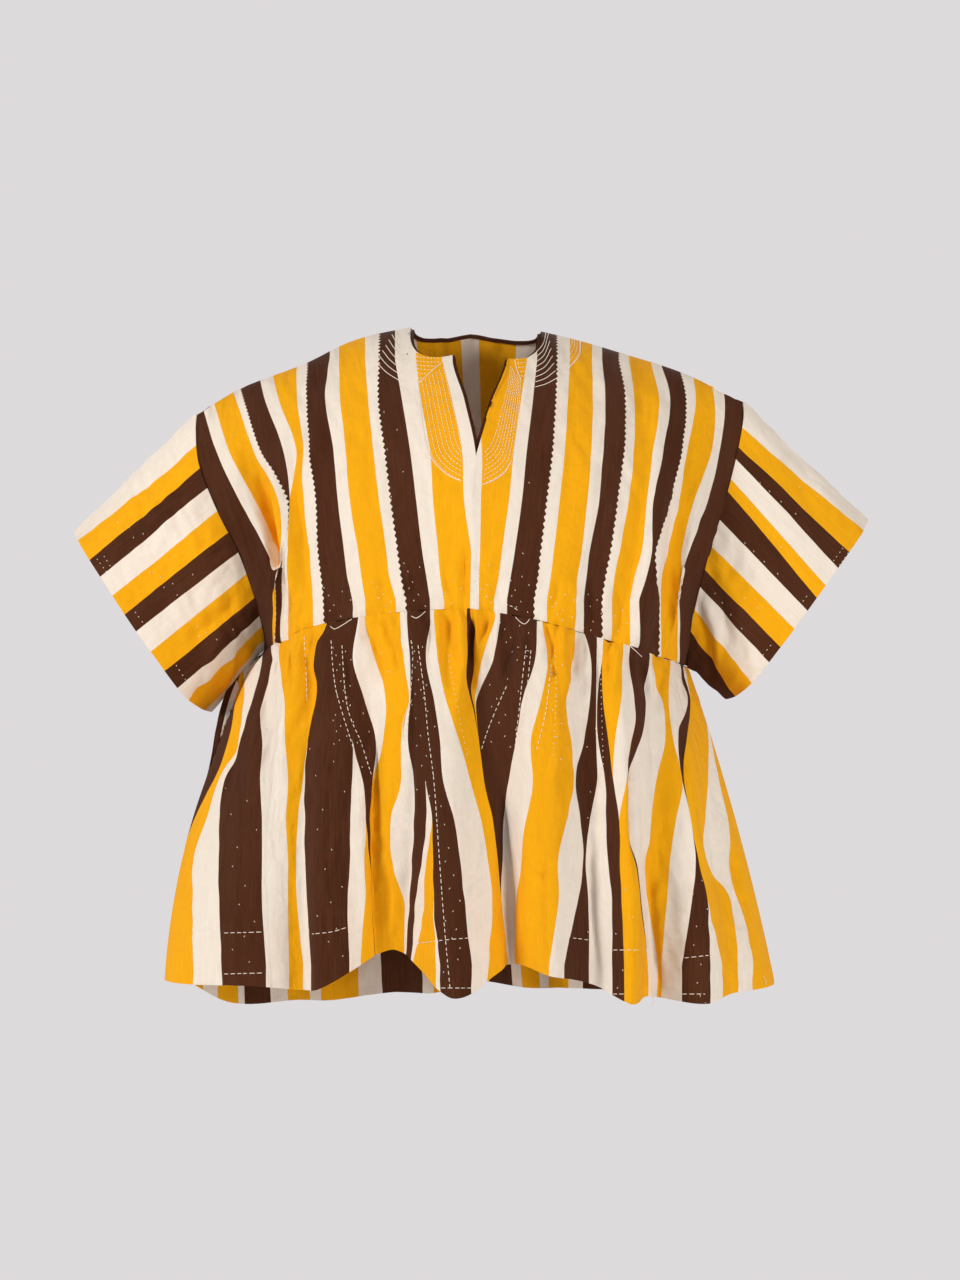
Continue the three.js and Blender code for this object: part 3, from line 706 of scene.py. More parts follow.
# Creases of the back, in millimetres out from the centre line and down from the origin.
BACK_CREASES = table(
    "x1 y1 x2 y2 wide deep",
    (-206, 380, -212, 740, 5, -6),
    (-196, 400, -196, 700, 9, 5.7),
    (-102, 360, -104, 730, 5, -6),
    (-88, 380, -86, 700, 9, 5.7),
    (-12, 330, -2, 720, 5, -8),
    (6, 350, 14, 690, 9, 5.7),
    (90, 350, 104, 730, 5, -5),
    (178, 380, 204, 730, 5, -7),
    (166, 400, 186, 700, 9, 5.7),
    (240, 430, 270, 720, 6, -4),
    (-180, 340, -186, 410, 5, -4.9),
    (-150, 330, -150, 400, 5, 4.2),
    (-122, 326, -116, 390, 5, -5.3),
    (-76, 322, -82, 370, 5, -4.2),
    (-46, 318, -50, 380, 5, 4.6),
    (-28, 316, -26, 360, 4, -4.6),
    (26, 316, 30, 386, 5, -5.3),
    (52, 322, 50, 372, 4, 4.2),
    (72, 326, 80, 392, 5, -4.6),
    (112, 336, 112, 398, 5, -5.3),
    (132, 344, 140, 396, 4, 4.2),
    (150, 350, 158, 410, 5, -4.6),
    (200, 366, 210, 430, 5, -4.6),
    (-150, 270, -156, 330, 5, -3),
    (-90, 262, -84, 318, 5, 3),
    (-58, 256, -62, 316, 5, -3.4),
    (-20, 240, -14, 312, 5, 2.7),
    (8, 250, 10, 314, 5, -3.4),
    (40, 250, 38, 318, 5, 2.7),
    (66, 262, 64, 326, 5, -3.4),
    (118, 270, 120, 340, 5, -3),
    (166, 280, 168, 350, 6, 3),
    (-226, 130, -190, 260, 9, -4.2),
    (-200, 100, -170, 230, 9, 3.8),
    (-120, 60, -104, 220, 12, -2.7),
    (-40, 40, -36, 200, 14, 2.3),
    (50, 40, 52, 220, 13, -2.7),
    (130, 60, 116, 230, 12, 2.7),
    (206, 110, 176, 260, 9, -4.2),
    (226, 150, 204, 280, 8, 3.8),
)


# Where a crease begins to rise, is full, begins to fall and is gone, as shares of its length.
CREASE_ENDS = (-0.12, 0.28, 0.72, 1.12)
CREASE_BEND = {"wide": 0.5, "turn": 5.1}  # how far it winds, of its width, and how often


def crease(creases, across, down):
    """How far the creases push the cloth out at places across and down it."""
    push = np.zeros_like(across)
    rise, full, fall, gone = CREASE_ENDS
    for x1, y1, x2, y2, wide, deep in zip(*creases.values()):
        run_x, run_y = x2 - x1, y2 - y1
        length = math.hypot(run_x, run_y)
        along = ((across - x1) * run_x + (down - y1) * run_y) / length**2
        aside = ((across - x1) * run_y - (down - y1) * run_x) / length
        bend = CREASE_BEND["wide"] * wide * np.sin(CREASE_BEND["turn"] * along + x1)
        ends = smooth(along, rise, full) * (1 - smooth(along, fall, gone))
        push += deep * ends * np.exp(-(((aside + bend) / wide) ** 2))
    return push


# How high the waves of the uneven cloth are, millimetres, and how much the smallest come and go.
RIPPLE = {"wide": 0.9, "fine": 0.45, "small": 0.65, "slack": 0.7}


def ripple(x, y, z):
    """Soft unevenness of hand-woven cloth. The waves' lengths and bends are given in millimetres."""
    wide = np.sin(x / 31 + 0.8 * np.sin(z / 47)) * np.sin(z / 39 + 1.3 + 0.6 * np.sin(x / 53))
    fine = np.sin(x / 11.3 + 1.1 * np.sin(z / 19 + y / 23)) * np.sin(z / 14.1 + 0.7 * np.sin(x / 17))
    slack = 1 + RIPPLE["slack"] * np.sin(x / 43 + z / 61 + 0.4)
    small = np.sin(x / 4.4 + 1.7 * np.sin(z / 15 + x / 29)) * np.sin(z / 9.7 + 1.3 * np.sin(x / 8.3))
    return RIPPLE["wide"] * wide + RIPPLE["fine"] * fine + RIPPLE["small"] * slack * small


# ---------------------------------------------------------------- pieces of cloth

TIGHT_BENDS = (270, 545, 312, 632)  # pixels: the foot of the deep fold beside the left-hand armhole
EASING = {"passes": 14, "factor": 0.5}  # of the tight bends
JOIN = 0.06  # points nearer than this are one, millimetres
SHARP = 60  # a bend that stays an edge, degrees


class Cloth:
    """A sheet of cloth: a grid of points, a colour for each face, and the cloth's coordinates as UV map."""

    def __init__(self, name):
        self.name = name
        self.points, self.uvs = [], []
        self.count = 0
        self.faces, self.colours = [], []

    def grid(self, points, uvs):
        """Adds a grid of points, rows by columns, and returns their numbers."""
        rows, columns = points.shape[:2]
        self.points.append(points.reshape(-1, 3))
        self.uvs.append(uvs.reshape(-1, 2))
        numbers = self.count + np.arange(rows * columns).reshape(rows, columns)
        self.count += rows * columns
        return numbers

    def face(self, corners, colour):
        self.faces.append([int(corner) for corner in corners])
        self.colours.append(COLOURS.index(colour))

    def fill(self, numbers, colours, teeth=()):
        """Fills a grid with faces, a colour for each column. Columns in teeth are serrated: brown reaches
        into another colour in points two rows apart. They name whether brown comes first, and the other."""
        for r in range(numbers.shape[0] - 1):
            for c, colour in enumerate(colours):
                a, b, d, e = numbers[r, c], numbers[r, c + 1], numbers[r + 1, c], numbers[r + 1, c + 1]
                if c not in teeth:
                    self.face((a, b, e, d), colour)
                    continue
                brown_first, other = colour
                if not brown_first:
                    a, b, d, e = b, a, e, d
                tip_below = r % 2 == 0
                inner = (a, e, d) if tip_below else (a, b, d)
                outer = (a, b, e) if tip_below else (b, e, d)
                for corners, name in ((inner, "brown"), (outer, other)):
                    self.face(corners if brown_first else corners[::-1], name)

    def build(self, turned, push, tight=None):
        """The mesh with its creases, and its wall inside. Its faces are reversed where it is turned, and
        sharp bends inside the box of pixels named tight are eased first."""
        mesh = bpy.data.meshes.new(self.name)
        points = np.concatenate(self.points) * MM
        mesh.from_pydata(points.tolist(), [], [f[::-1] if turned else f for f in self.faces])
        for colour in COLOURS:
            mesh.materials.append(COTTON[colour])
        mesh.polygons.foreach_set("material_index", self.colours)
        layer = mesh.uv_layers.new(name="cloth")
        corners = np.zeros(len(mesh.loops), int)
        mesh.loops.foreach_get("vertex_index", corners)
        layer.data.foreach_set("uv", np.concatenate(self.uvs)[corners].ravel() * MM)
        bm = bmesh.new()
        bm.from_mesh(mesh)
        bmesh.ops.remove_doubles(bm, verts=bm.verts, dist=JOIN * MM)
        if tight:
            left, top, right, bottom = tight
            px, py = to_pixels(np.array([vert.co for vert in bm.verts]) / MM)
            inside = (px > left) & (px < right) & (py > top) & (py < bottom)
            bends = [vert for vert, near in zip(bm.verts, inside) if near and not vert.is_boundary]
            axes = {"use_axis_" + axis: True for axis in "xyz"}
            for _ in range(EASING["passes"]):
                bmesh.ops.smooth_vert(bm, verts=bends, factor=EASING["factor"], **axes)
        bm.normal_update()
        bm.to_mesh(mesh)
        bm.free()
        mesh.update()
        places = np.zeros(len(mesh.vertices) * 3)
        normals = np.zeros(len(mesh.vertices) * 3)
        mesh.vertices.foreach_get("co", places)
        mesh.vertex_normals.foreach_get("vector", normals)
        places, normals = places.reshape(-1, 3), normals.reshape(-1, 3)
        places = places + normals * (push(places / MM, normals) * MM)[:, None]
        mesh.vertices.foreach_set("co", places.ravel())
        mesh.update()
        return self.finish(mesh)

    def finish(self, mesh):
        """The cloth's wall, as the object that is kept."""
        piece = place_object(self.name, mesh)
        wall = piece.modifiers.new("wall", "SOLIDIFY")
        wall.thickness = CLOTH * MM
        wall.offset = -1
        bpy.context.view_layer.update()
        graph = bpy.context.evaluated_depsgraph_get()
        thick = bpy.data.meshes.new_from_object(piece.evaluated_get(graph))
        piece.modifiers.clear()
        piece.data = thick
        bpy.data.meshes.remove(mesh)
        thick.name = self.name
        thick.polygons.foreach_set("use_smooth", [True] * len(thick.polygons))
        thick.set_sharp_from_angle(angle=math.radians(SHARP))
        thick.update()
        return piece


def stripe_edges(dense, points, heights, stripes, sign=1):
    """Places along a row of the cloth where the stripes of a table of pixels begin. The row is given by
    dense places and their points, and sign is -1 where its pixels run from right to left."""
    px, py = to_pixels(points)
    px = np.maximum.accumulate(sign * px)
    height = np.clip(py, heights[0], heights[-1])
    places = [dense[0]]
    for _, *pixels in stripes[1:]:
        beyond = px - sign * curve(heights, pixels, height)
        if beyond[-1] < 0:
            places.append(dense[-1])
            continue
        first = int(np.argmax(beyond >= 0))
        if first == 0:
            places.append(dense[0])
            continue
        before, after = beyond[first - 1], beyond[first]
        places.append(dense[first - 1] + (dense[first] - dense[first - 1]) * before / (before - after))
    return np.maximum.accumulate(np.array([*places, dense[-1]]))


# Fine gathers at the gather seam: how deep, how far apart and how far they reach down and up, millimetres.
GATHER_DEPTH = 1.5
GATHER_PITCH = 11.5
GATHER_REACH = {"below": 26, "above": 9}
GATHER_SLANT = 40  # they wander by a radian in this height
SEAM_GROOVE = {"deep": 0.9, "wide": 2.4}
# How they vary along the seam: waves as height, length over two pi in millimetres, and start.
REACH_WAVES = ((0.45, 27, 1), (0.25, 9.7, 0))
TURN_WAVES = ((1.7, 37, 0), (1.1, 13.7, 0.9))
DEPTH_WAVES = ((0.38, 17.3, 2),)
DEPTH_MIDDLE = 0.62
SEAM_POINTS = 120  # on each side
TURNED = (0.1, 0.55)  # how far a normal faces the viewer where creases begin, and where they are full
BACK_SHIFT = 400  # the back's ripple is the front's from this far off


def seam_heights(face):
    """Places across the gather seam and its heights there."""
    u = np.linspace(0, HALF_CUT, SEAM_POINTS)
    sides = [bodice_points(face, side, u, np.ones_like(u)) for side in ("left", "right")]
    points = np.concatenate([sides[0][::-1], sides[1]])
    order = np.argsort(points[:, 0])
    return points[order, 0], points[order, 2]


SEAM_HEIGHTS = {face: seam_heights(face) for face in FACE_SIGN}


def waves(x, level, parts):
    """A level with waves on it, each as its height, its length over two pi and its start."""
    return sum((high * np.sin(x / length + start) for high, length, start in parts), level)


def gathers(face, points):
    """Small uneven gathers that start at the gather seam, and the seam's own groove."""
    x, _, z = points.T
    below = np.interp(x, *SEAM_HEIGHTS[face]) - z
    reach = np.where(below > 0, GATHER_REACH["below"], GATHER_REACH["above"])
    reach = reach * waves(x, 1, REACH_WAVES)
    turns = waves(x, 2 * math.pi * x / GATHER_PITCH, TURN_WAVES) + below / GATHER_SLANT
    deep = GATHER_DEPTH * waves(x, DEPTH_MIDDLE, DEPTH_WAVES) * np.exp(-np.abs(below) / reach)
    return deep * np.sin(turns) - SEAM_GROOVE["deep"] * np.exp(-((below / SEAM_GROOVE["wide"]) ** 2))


def front_push(points, normals):
    """Creases act only where the cloth is turned to the front, so that folded layers stay apart."""
    px, py = to_pixels(points)
    turned = smooth(-normals[:, 1], *TURNED)
    creases = crease(FRONT_CREASES, px, py) + gathers("front", points)
    return turned * (creases + ripple(*points.T))


def back_push(points, normals):
    """The same for the back, whose creases are in millimetres."""
    turned = smooth(normals[:, 1], *TURNED)
    creases = crease(BACK_CREASES, points[:, 0], -points[:, 2]) + gathers("back", points)
    return turned * (creases + ripple(points[:, 0] + BACK_SHIFT, points[:, 1], points[:, 2]))


# ---------------------------------------------------------------- the bodice

TOOTH = 2.4  # how far the serrated seam's teeth reach
TOOTH_ROW = 3.3  # half of the distance between two teeth
STRIP_BANDS = (("cream", 8), ("amber", 34), ("cream", 18), ("brown", 25))  # of a strip of the back
COLUMN_STEP = 4.2
DENSE = {"bodice": 900, "skirt": 1601, "down": 2001}  # places tried along a row, and down the bodice
ROW_LINE = 150.0  # the strip coordinate along which the bodice's rows are evenly spaced
NEAR_EDGE = 0.02  # of a stripe, where no further column is put
LEAST_WIDTH = 1e-9  # stands in for no width

# Where the colours change on the bodice's front, from the centre seam out to each armhole: the inner edge
# of each stretch of colour, in pixels across the photograph, at seven heights of its pixels. Read off the
# photograph with a small measuring script, and sorted into stripes and in part altered by hand.
BODICE_HEIGHTS = np.array([360, 400, 450, 500, 550, 575, 600], float)
BODICE_STRIPES = {
    "left": (
        ("cream", 480, 480, 480, 480, 480, 480, 480),
        ("amber", 442, 452, 462, 464, 471, 473, 475),
        ("cream", 416, 421, 430, 433, 438, 440, 444),
        ("brown", 395, 402, 410, 416, 422, 426, 430),
        ("cream", 378, 377, 383, 389, 396, 400, 405),
        ("amber", 365, 368, 373, 379, 386, 389, 396),
        ("cream", 339, 340, 346, 350, 358, 361, 365),
        ("brown", 330, 326, 333, 338, 344, 347, 352),
        ("cream", 307, 305, 308, 315, 317, 320, 323),
        ("amber", 297, 297, 303, 304, 309, 310, 313),
        ("cream", 269, 279, 296, 290, 287, 288, 288),
        ("brown", 256, 265, 283, 290, 284, 279, 280),
        ("cream", 232, 243, 260, 286, 284, 275, 275),
        ("amber", 222, 236, 254, 278, 281, 275, 275),
        ("cream", 200, 213, 229, 254, 276, 275, 273),
        ("brown", 185, 200, 216, 239, 266, 275, 273),
    ),
    "right": (
        ("cream", 480, 480, 480, 480, 480, 480, 480),
        ("amber", 476, 476, 482, 481, 480, 479, 479),
        ("cream", 527, 521, 514, 509, 502, 499, 494),
        ("brown", 537, 533, 527, 522, 515, 511, 507),
        ("cream", 558, 557, 554, 548, 542, 539, 535),
        ("amber", 570, 568, 565, 560, 554, 551, 547),
        ("cream", 592, 593, 591, 587, 582, 578, 575),
        ("brown", 602, 605, 603, 599, 590, 587, 584),
        ("cream", 620, 626, 625, 619, 612, 607, 603),
        ("amber", 629, 635, 634, 629, 620, 615, 612),
        ("cream", 651, 658, 653, 647, 642, 635, 630),
        ("brown", 660, 670, 663, 653, 652, 647, 639),
        ("cream", 678, 687, 683, 672, 657, 657, 660),
        ("amber", 690, 696, 688, 680, 669, 662, 661),
        ("cream", 705, 715, 712, 694, 682, 681, 678),
        ("brown", 715, 725, 720, 708, 689, 683, 680),
    ),
}
# Shares of the neck's depth at which its edge gets a column.
NECK_SHARES = (0.985, 0.96, 0.92, 0.87, 0.8, 0.72, 0.63, 0.54, 0.44, 0.33, 0.22, 0.12, 0.05, 0)


def bodice_cells(face, side, u, row):
    """Strip coordinates and drops of places on the bodice's cloth, cut by the neck hole and the slit."""
    top = neck_edge(face, side, u)
    at = top + (1 - top) * row
    return np.maximum(u, slit_edge(face, side, at)), at


def bodice_bands(face, side, rows):
    """The bands of colour from the centre seam to the armhole, and their edges on each row."""
    if face == "back":
        bands = [colour for _ in range(STRIPS) for colour, _ in STRIP_BANDS]
        widths = [width for _ in range(STRIPS) for _, width in STRIP_BANDS]
        edges = np.repeat(np.concatenate([[0.0], np.cumsum(widths)])[None, :], len(rows), axis=0)
    else:
        stripes = BODICE_STRIPES[side]
        bands = [stripe[0] for stripe in stripes]
        dense = np.linspace(0, HALF_CUT, DENSE["bodice"])
        edges = []
        for row in rows:
            u, at = bodice_cells(face, side, dense, row)
            points = bodice_points(face, side, u, at)
            edges.append(stripe_edges(dense, points, BODICE_HEIGHTS, stripes, SIGN[side]))
        edges = np.array(edges)
    return add_teeth(bands, edges)


def add_teeth(bands, edges):
    """Parts the outer edge off each brown band but the last, for the serrated seam."""
    with_teeth, columns = [], [edges[:, 0]]
    for i, band in enumerate(bands):
        if band == "brown" and i < len(bands) - 1:
            columns.append(np.maximum(edges[:, i + 1] - TOOTH, edges[:, i]))
            with_teeth.append(band)
            band = "teeth"
        columns.append(edges[:, i + 1])
        with_teeth.append(band)
    return with_teeth, np.array(columns).T


def bodice_columns(face, side, rows):
    """Strip coordinates of the grid, rows by columns, and the band that each column starts."""
    bands, edges = bodice_bands(face, side, rows)
    columns, starts = [], []
    for i, band in enumerate(bands):
        first, last = edges[:, i], edges[:, i + 1]
        width = last - first
        count = 1 if band == "teeth" else max(1, math.ceil(float(width.max()) / COLUMN_STEP))
        shares = {k / count for k in range(count)}
        for across in [neck_across(side, share) for share in NECK_SHARES]:
            share = (across - first[0]) / max(width[0], LEAST_WIDTH)
            if band != "teeth" and NEAR_EDGE < share < 1 - NEAR_EDGE:
                shares.add(share)
        for share in sorted(shares):
            columns.append(first + width * share)
            starts.append(band)
    columns.append(edges[:, -1])
    return np.array(columns).T, starts


def bodice_rows(face):
    """Shares of the way down the bodice, evenly spaced along the cloth."""
    at = np.linspace(0, 1, DENSE["down"])
    line = bodice_points(face, "left", np.full_like(at, ROW_LINE), at)
    run = np.concatenate([[0], np.cumsum(np.linalg.norm(np.diff(line, axis=0), axis=1))])
    count = 2 * round(run[-1] / TOOTH_ROW / 2)
    return np.interp(np.linspace(0, run[-1], count + 1), run, at), run[-1]


def make_bodice(face):
    cloth = Cloth("smock_bodice_" + face)
    rows, length = bodice_rows(face)
    for side in ("left", "right"):
        columns, bands = bodice_columns(face, side, rows)
        down = np.broadcast_to(rows[:, None], columns.shape)
        u, at = bodice_cells(face, side, columns.ravel(), down.ravel())
        points = bodice_points(face, side, u, at).reshape(*columns.shape, 3)
        uvs = np.stack([u * SIGN[side], -at * length], axis=-1)
        brown_first = side == "right"
        numbers = cloth.grid(points, uvs)
        if not brown_first:
            numbers, bands = numbers[:, ::-1], bands[::-1]
        teeth = [c for c, band in enumerate(bands) if band == "teeth"]
        colours = [(brown_first, "cream") if band == "teeth" else band for band in bands]
        cloth.fill(numbers, colours, teeth)
    if face == "back":
        return cloth.build(False, back_push)
    return cloth.build(True, front_push, TIGHT_BENDS)


# ---------------------------------------------------------------- the sleeves

# Where the colours change on the front of each sleeve, from the shoulder fold down: the upper edge of each
# stripe at the armhole and at the cuff, in pixels of the photograph, read off it in the same way.
SLEEVE_STRIPES = {
    "left": (
        ("amber", (194, 446), (77, 542)),
        ("brown", (200, 469), (89, 561)),
        ("cream", (209, 488), (101, 577)),
        ("amber", (220, 510), (114, 595)),
        ("brown", (232, 531), (127, 613)),
        ("cream", (242, 551), (139, 630)),
        ("amber", (252, 572), (154, 649)),
        ("brown", (257, 597), (168, 668)),
        ("cream", (249, 618), (178, 687)),
        ("amber", (250, 628), (190, 697)),
        ("cream", (254, 640), (205, 708)),
    ),
    "right": (
        ("amber", (740, 428), (861, 530)),
        ("brown", (733, 447), (847, 551)),
        ("cream", (729, 458), (836, 567)),
        ("amber", (724, 478), (824, 585)),
        ("brown", (721, 490), (815, 597)),
        ("cream", (716, 519), (806, 610)),
        ("amber", (710, 546), (793, 628)),
        ("brown", (702, 569), (779, 646)),
        ("cream", (696, 586), (768, 661)),
        ("amber", (688, 608), (752, 682)),
        ("brown", (684, 630), (735, 694)),
    ),
}
# The sleeve's back, on from the underarm, where the front's last stripe ends: as turns round the ring at
# the armhole and at the cuff.
SLEEVE_BACK = (
    ("brown", 1.06, 1.06),
    ("cream", 1.13, 1.15),
    ("amber", 1.22, 1.26),
    ("brown", 1.31, 1.37),
    ("cream", 1.39, 1.47),
    ("amber", 1.48, 1.58),
    ("brown", 1.57, 1.68),
    ("cream", 1.65, 1.78),
    ("amber", 1.74, 1.87),
    ("brown", 1.84, 1.93),
    ("cream", 1.93, 1.98),
)
SLEEVE_STEP = 0.016  # turn between two columns
SLEEVE_ROWS = 60
SLEEVE_GIRTH = 262  # millimetres of cloth in half of the armhole
LEAST_TURN = 0.01  # from one colour to the next
SEEN_TURNS = np.linspace(0, 1.03, 1031)  # of the front, to just past the underarm
# How far to the front the sleeve's front creases end, and where they are full, millimetres. Behind that are
# the same creases again, this many pixels aside and down.
SLEEVE_FRONT = (-20, 10)
SLEEVE_SHIFT = (14, 9)


def turn_at(edge, side, pixel):
    """The turn round an armhole or cuff that is seen nearest to a pixel."""
    px, py = to_pixels(ring_points(edge, side, SEEN_TURNS))
    return float(SEEN_TURNS[np.argmin(np.hypot(px - pixel[0], py - pixel[1]))])


def sleeve_bands(side):
    """The colours round a sleeve, and where each begins at the armhole and at the cuff."""
    bands = [("cream", 0.0, 0.0)]
    for colour, armhole, cuff in SLEEVE_STRIPES[side]:
        _, last_armhole, last_cuff = bands[-1]
        at_armhole = max(turn_at(ARMHOLE, side, armhole), last_armhole + LEAST_TURN)
        at_cuff = max(turn_at(CUFF, side, cuff), last_cuff + LEAST_TURN)
        bands.append((colour, at_armhole, at_cuff))
    return [*bands, *SLEEVE_BACK]


def ring_points(edge, side, turn):
    """Points round an armhole or cuff: 0 at the shoulder fold, 1 at the underarm, on round the back to 2."""
    front = turn <= 1
    at = np.where(front, np.maximum(turn, 0), np.clip(2 - turn, 0, 1))
    return np.where(
        front[:, None], edge_points(edge, "front", side, at), edge_points(edge, "back", side, at)
    )


def make_sleeve(side):
    cloth = Cloth("smock_sleeve_" + side)
    bands = sleeve_bands(side)
    starts = [(armhole, cuff) for _, armhole, cuff in bands] + [(2.0, 2.0)]
    armhole, cuff, colours = [], [], []
    for i, (band, _, _) in enumerate(bands):
        (a0, c0), (a1, c1) = starts[i], starts[i + 1]
        count = max(1, math.ceil(max(a1 - a0, c1 - c0) / SLEEVE_STEP))
        for k in range(count):
            armhole.append(a0 + (a1 - a0) * k / count)
            cuff.append(c0 + (c1 - c0) * k / count)
            colours.append(band)
    armhole.append(starts[-1][0])
    cuff.append(starts[-1][1])
    along = np.linspace(0, 1, SLEEVE_ROWS + 1)
    turn = np.array(armhole)[None, :] * (1 - along)[:, None] + np.array(cuff)[None, :] * along[:, None]
    share = np.broadcast_to(along[:, None], turn.shape).ravel()[:, None]
    inner, outer = (ring_points(edge, side, turn.ravel()) for edge in (ARMHOLE, CUFF))
    points = (inner * (1 - share) + outer * share).reshape(*turn.shape, 3)
    length = np.linalg.norm(outer - inner, axis=1).reshape(turn.shape)
    flat = np.array(armhole)[None, :] * np.full_like(turn, SLEEVE_GIRTH)
    uvs = np.stack([flat, length * along[:, None]], axis=-1)
    cloth.fill(cloth.grid(points, uvs), colours)

    def push(places, _):
        px, py = to_pixels(places)
        facing = smooth(-places[:, 1], *SLEEVE_FRONT)
        back = crease(SLEEVE_CREASES[side], px + SLEEVE_SHIFT[0], py - SLEEVE_SHIFT[1])
        front = crease(SLEEVE_CREASES[side], px, py)
        return facing * front + (1 - facing) * back + ripple(*places.T)

    return cloth.build(side == "right", push)


# ---------------------------------------------------------------- the skirt

# Where the colours change on the skirt's front: the left edge of each stretch of colour, in pixels across
# the photograph, at nine heights of its pixels, read off it in the same way as the bodice's. Stretches
# narrow to nothing inside the folds.
STRIPE_HEIGHTS = np.array([620, 660, 700, 740, 780, 820, 860, 900, 965], float)
FRONT_STRIPES = (
    ("brown", -900, -900, -900, -900, -900, -900, -900, -900, -900),
    ("amber", 240, 243, 238, 229, 214, 190, 175, 165, 155),
    ("cream", 240, 243, 244, 237, 218, 206, 193, 192, 193),
    ("brown", 262, 262, 252, 240, 223, 219, 219, 219, 222),
    ("cream", 270, 270, 259, 262, 260, 262, 262, 262, 266),
    ("amber", 280, 279, 284, 285, 288, 286, 288, 288, 289),
    ("cream", 327, 316, 315, 308, 303, 298, 296, 297, 303),
    ("brown", 327, 316, 315, 308, 305, 305, 305, 307, 311),
    ("cream", 334, 335, 338, 352, 352, 350, 350, 348, 349),
    ("amber", 334, 335, 338, 352, 361, 364, 362, 363, 360),
    ("brown", 334, 335, 338, 352, 361, 364, 369, 374, 377),
    ("cream", 358, 353, 365, 376, 374, 370, 372, 375, 378),
    ("amber", 364, 375, 386, 384, 374, 370, 372, 375, 378),
    ("cream", 400, 404, 408, 401, 401, 393, 395, 404, 404),
    ("brown", 407, 409, 409, 407, 411, 412, 410, 409, 405),
    ("cream", 419, 417, 420, 423, 425, 427, 423, 416, 411),
    ("amber", 419, 417, 420, 423, 425, 433, 428, 425, 413),
    ("cream", 419, 417, 420, 423, 425, 433, 435, 436, 436),
    ("brown", 419, 417, 420, 423, 425, 433, 435, 436, 440),
    ("cream", 430, 426, 434, 440, 443, 454, 460, 464, 472),
    ("amber", 434, 438, 446, 459, 470, 480, 485, 488, 488),
    # This thin brown stretch is painted shade: it darkens the deep valley beside the ridge, and it narrows
    # to nothing by the fourth height.
    ("brown", 467, 468, 472, 479, 483, 489, 497, 501, 509),
    ("amber", 470, 474, 474, 479, 483, 489, 497, 501, 509),
    ("cream", 495, 482, 476, 479, 483, 489, 497, 501, 509),
    ("brown", 500, 493, 477, 479, 483, 489, 497, 501, 509),
    ("cream", 537, 535, 522, 516, 509, 503, 503, 501, 509),
    ("amber", 542, 548, 541, 531, 533, 528, 525, 516, 514),
    ("cream", 577, 575, 566, 571, 574, 567, 558, 559, 549),
    ("brown", 581, 591, 590, 584, 576, 581, 583, 578, 564),
    ("cream", 597, 597, 596, 596, 597, 590, 586, 589, 589),
    ("brown", 604, 602, 597, 598, 605, 606, 608, 612, 612),
    ("amber", 604, 602, 603, 608, 613, 619, 620, 622, 624),
    ("cream", 625, 622, 621, 615, 613, 619, 620, 622, 624),
    ("amber", 634, 629, 634, 634, 627, 619, 620, 622, 624),
    # This brown stretch is the cloth's own brown at the top; lower down, where it is a pixel wide, it is
    # painted shade along the fold's valley.
    ("brown", 634, 629, 634, 634, 632, 632, 636, 640, 649),
    ("cream", 651, 649, 645, 639, 634, 633, 637, 641, 649),
    ("amber", 661, 651, 663, 665, 656, 649, 646, 650, 657),
    ("cream", 672, 671, 669, 673, 683, 676, 670, 667, 661),
    ("brown", 680, 680, 688, 679, 683, 691, 696, 692, 682),
    ("cream", 684, 684, 690, 687, 685, 691, 699, 708, 710),
    ("amber", 684, 686, 690, 687, 685, 691, 699, 708, 722),
    ("cream", 700, 700, 704, 708, 708, 707, 709, 731, 738),
    ("amber", 699, 701, 706, 711, 719, 728, 732, 741, 753),
)

# Two woven strips of the back, the second turned about: colours and widths.
BACK_BANDS = (
    ("brown", 22), ("cream", 18), ("amber", 35), ("cream", 20), ("amber", 35), ("cream", 18), ("brown", 22)
)
BACK_WIDTH = 960  # they are laid side by side over this, and the whole is fitted to the gather seam
LAST_START = 0.999  # a colour that starts further out than this share is left out
SKIRT_STEP = 4.0
SKIRT_ROW = 4.0
SIDE_EASING = 13  # rows


def back_stripes():
    """The back's colours and the places of their edges across the gather seam."""
    colours, edges = [], []
    at = -BACK_WIDTH / 2
    while at < BACK_WIDTH / 2:
        for colour, width in BACK_BANDS:
            colours.append(colour)
            edges.append(min(at, BACK_WIDTH / 2))
            at += width
    edges.append(BACK_WIDTH / 2)
    edges = np.array(edges) / (BACK_WIDTH / 2)
    keep = [i for i in range(len(colours)) if edges[i] < LAST_START]
    return [colours[i] for i in keep], np.array([*(edges[i] for i in keep), 1.0])


def front_edges(rows):
    """Where the front's colours begin on each row of the skirt."""
    dense = np.linspace(-1, 1, DENSE["skirt"])
    edges = []
    for down in rows:
        points = skirt_points("front", dense, np.full_like(dense, down))
        edges.append(stripe_edges(dense, points, STRIPE_HEIGHTS, FRONT_STRIPES))
    edges = np.array(edges)
    # the brown at the left-hand side seam runs out slowly
    window = np.ones(2 * SIDE_EASING + 1) / (2 * SIDE_EASING + 1)
    edges[:, 1] = np.convolve(np.pad(edges[:, 1], SIDE_EASING, mode="edge"), window, mode="valid")
    return np.maximum.accumulate(edges, axis=1)


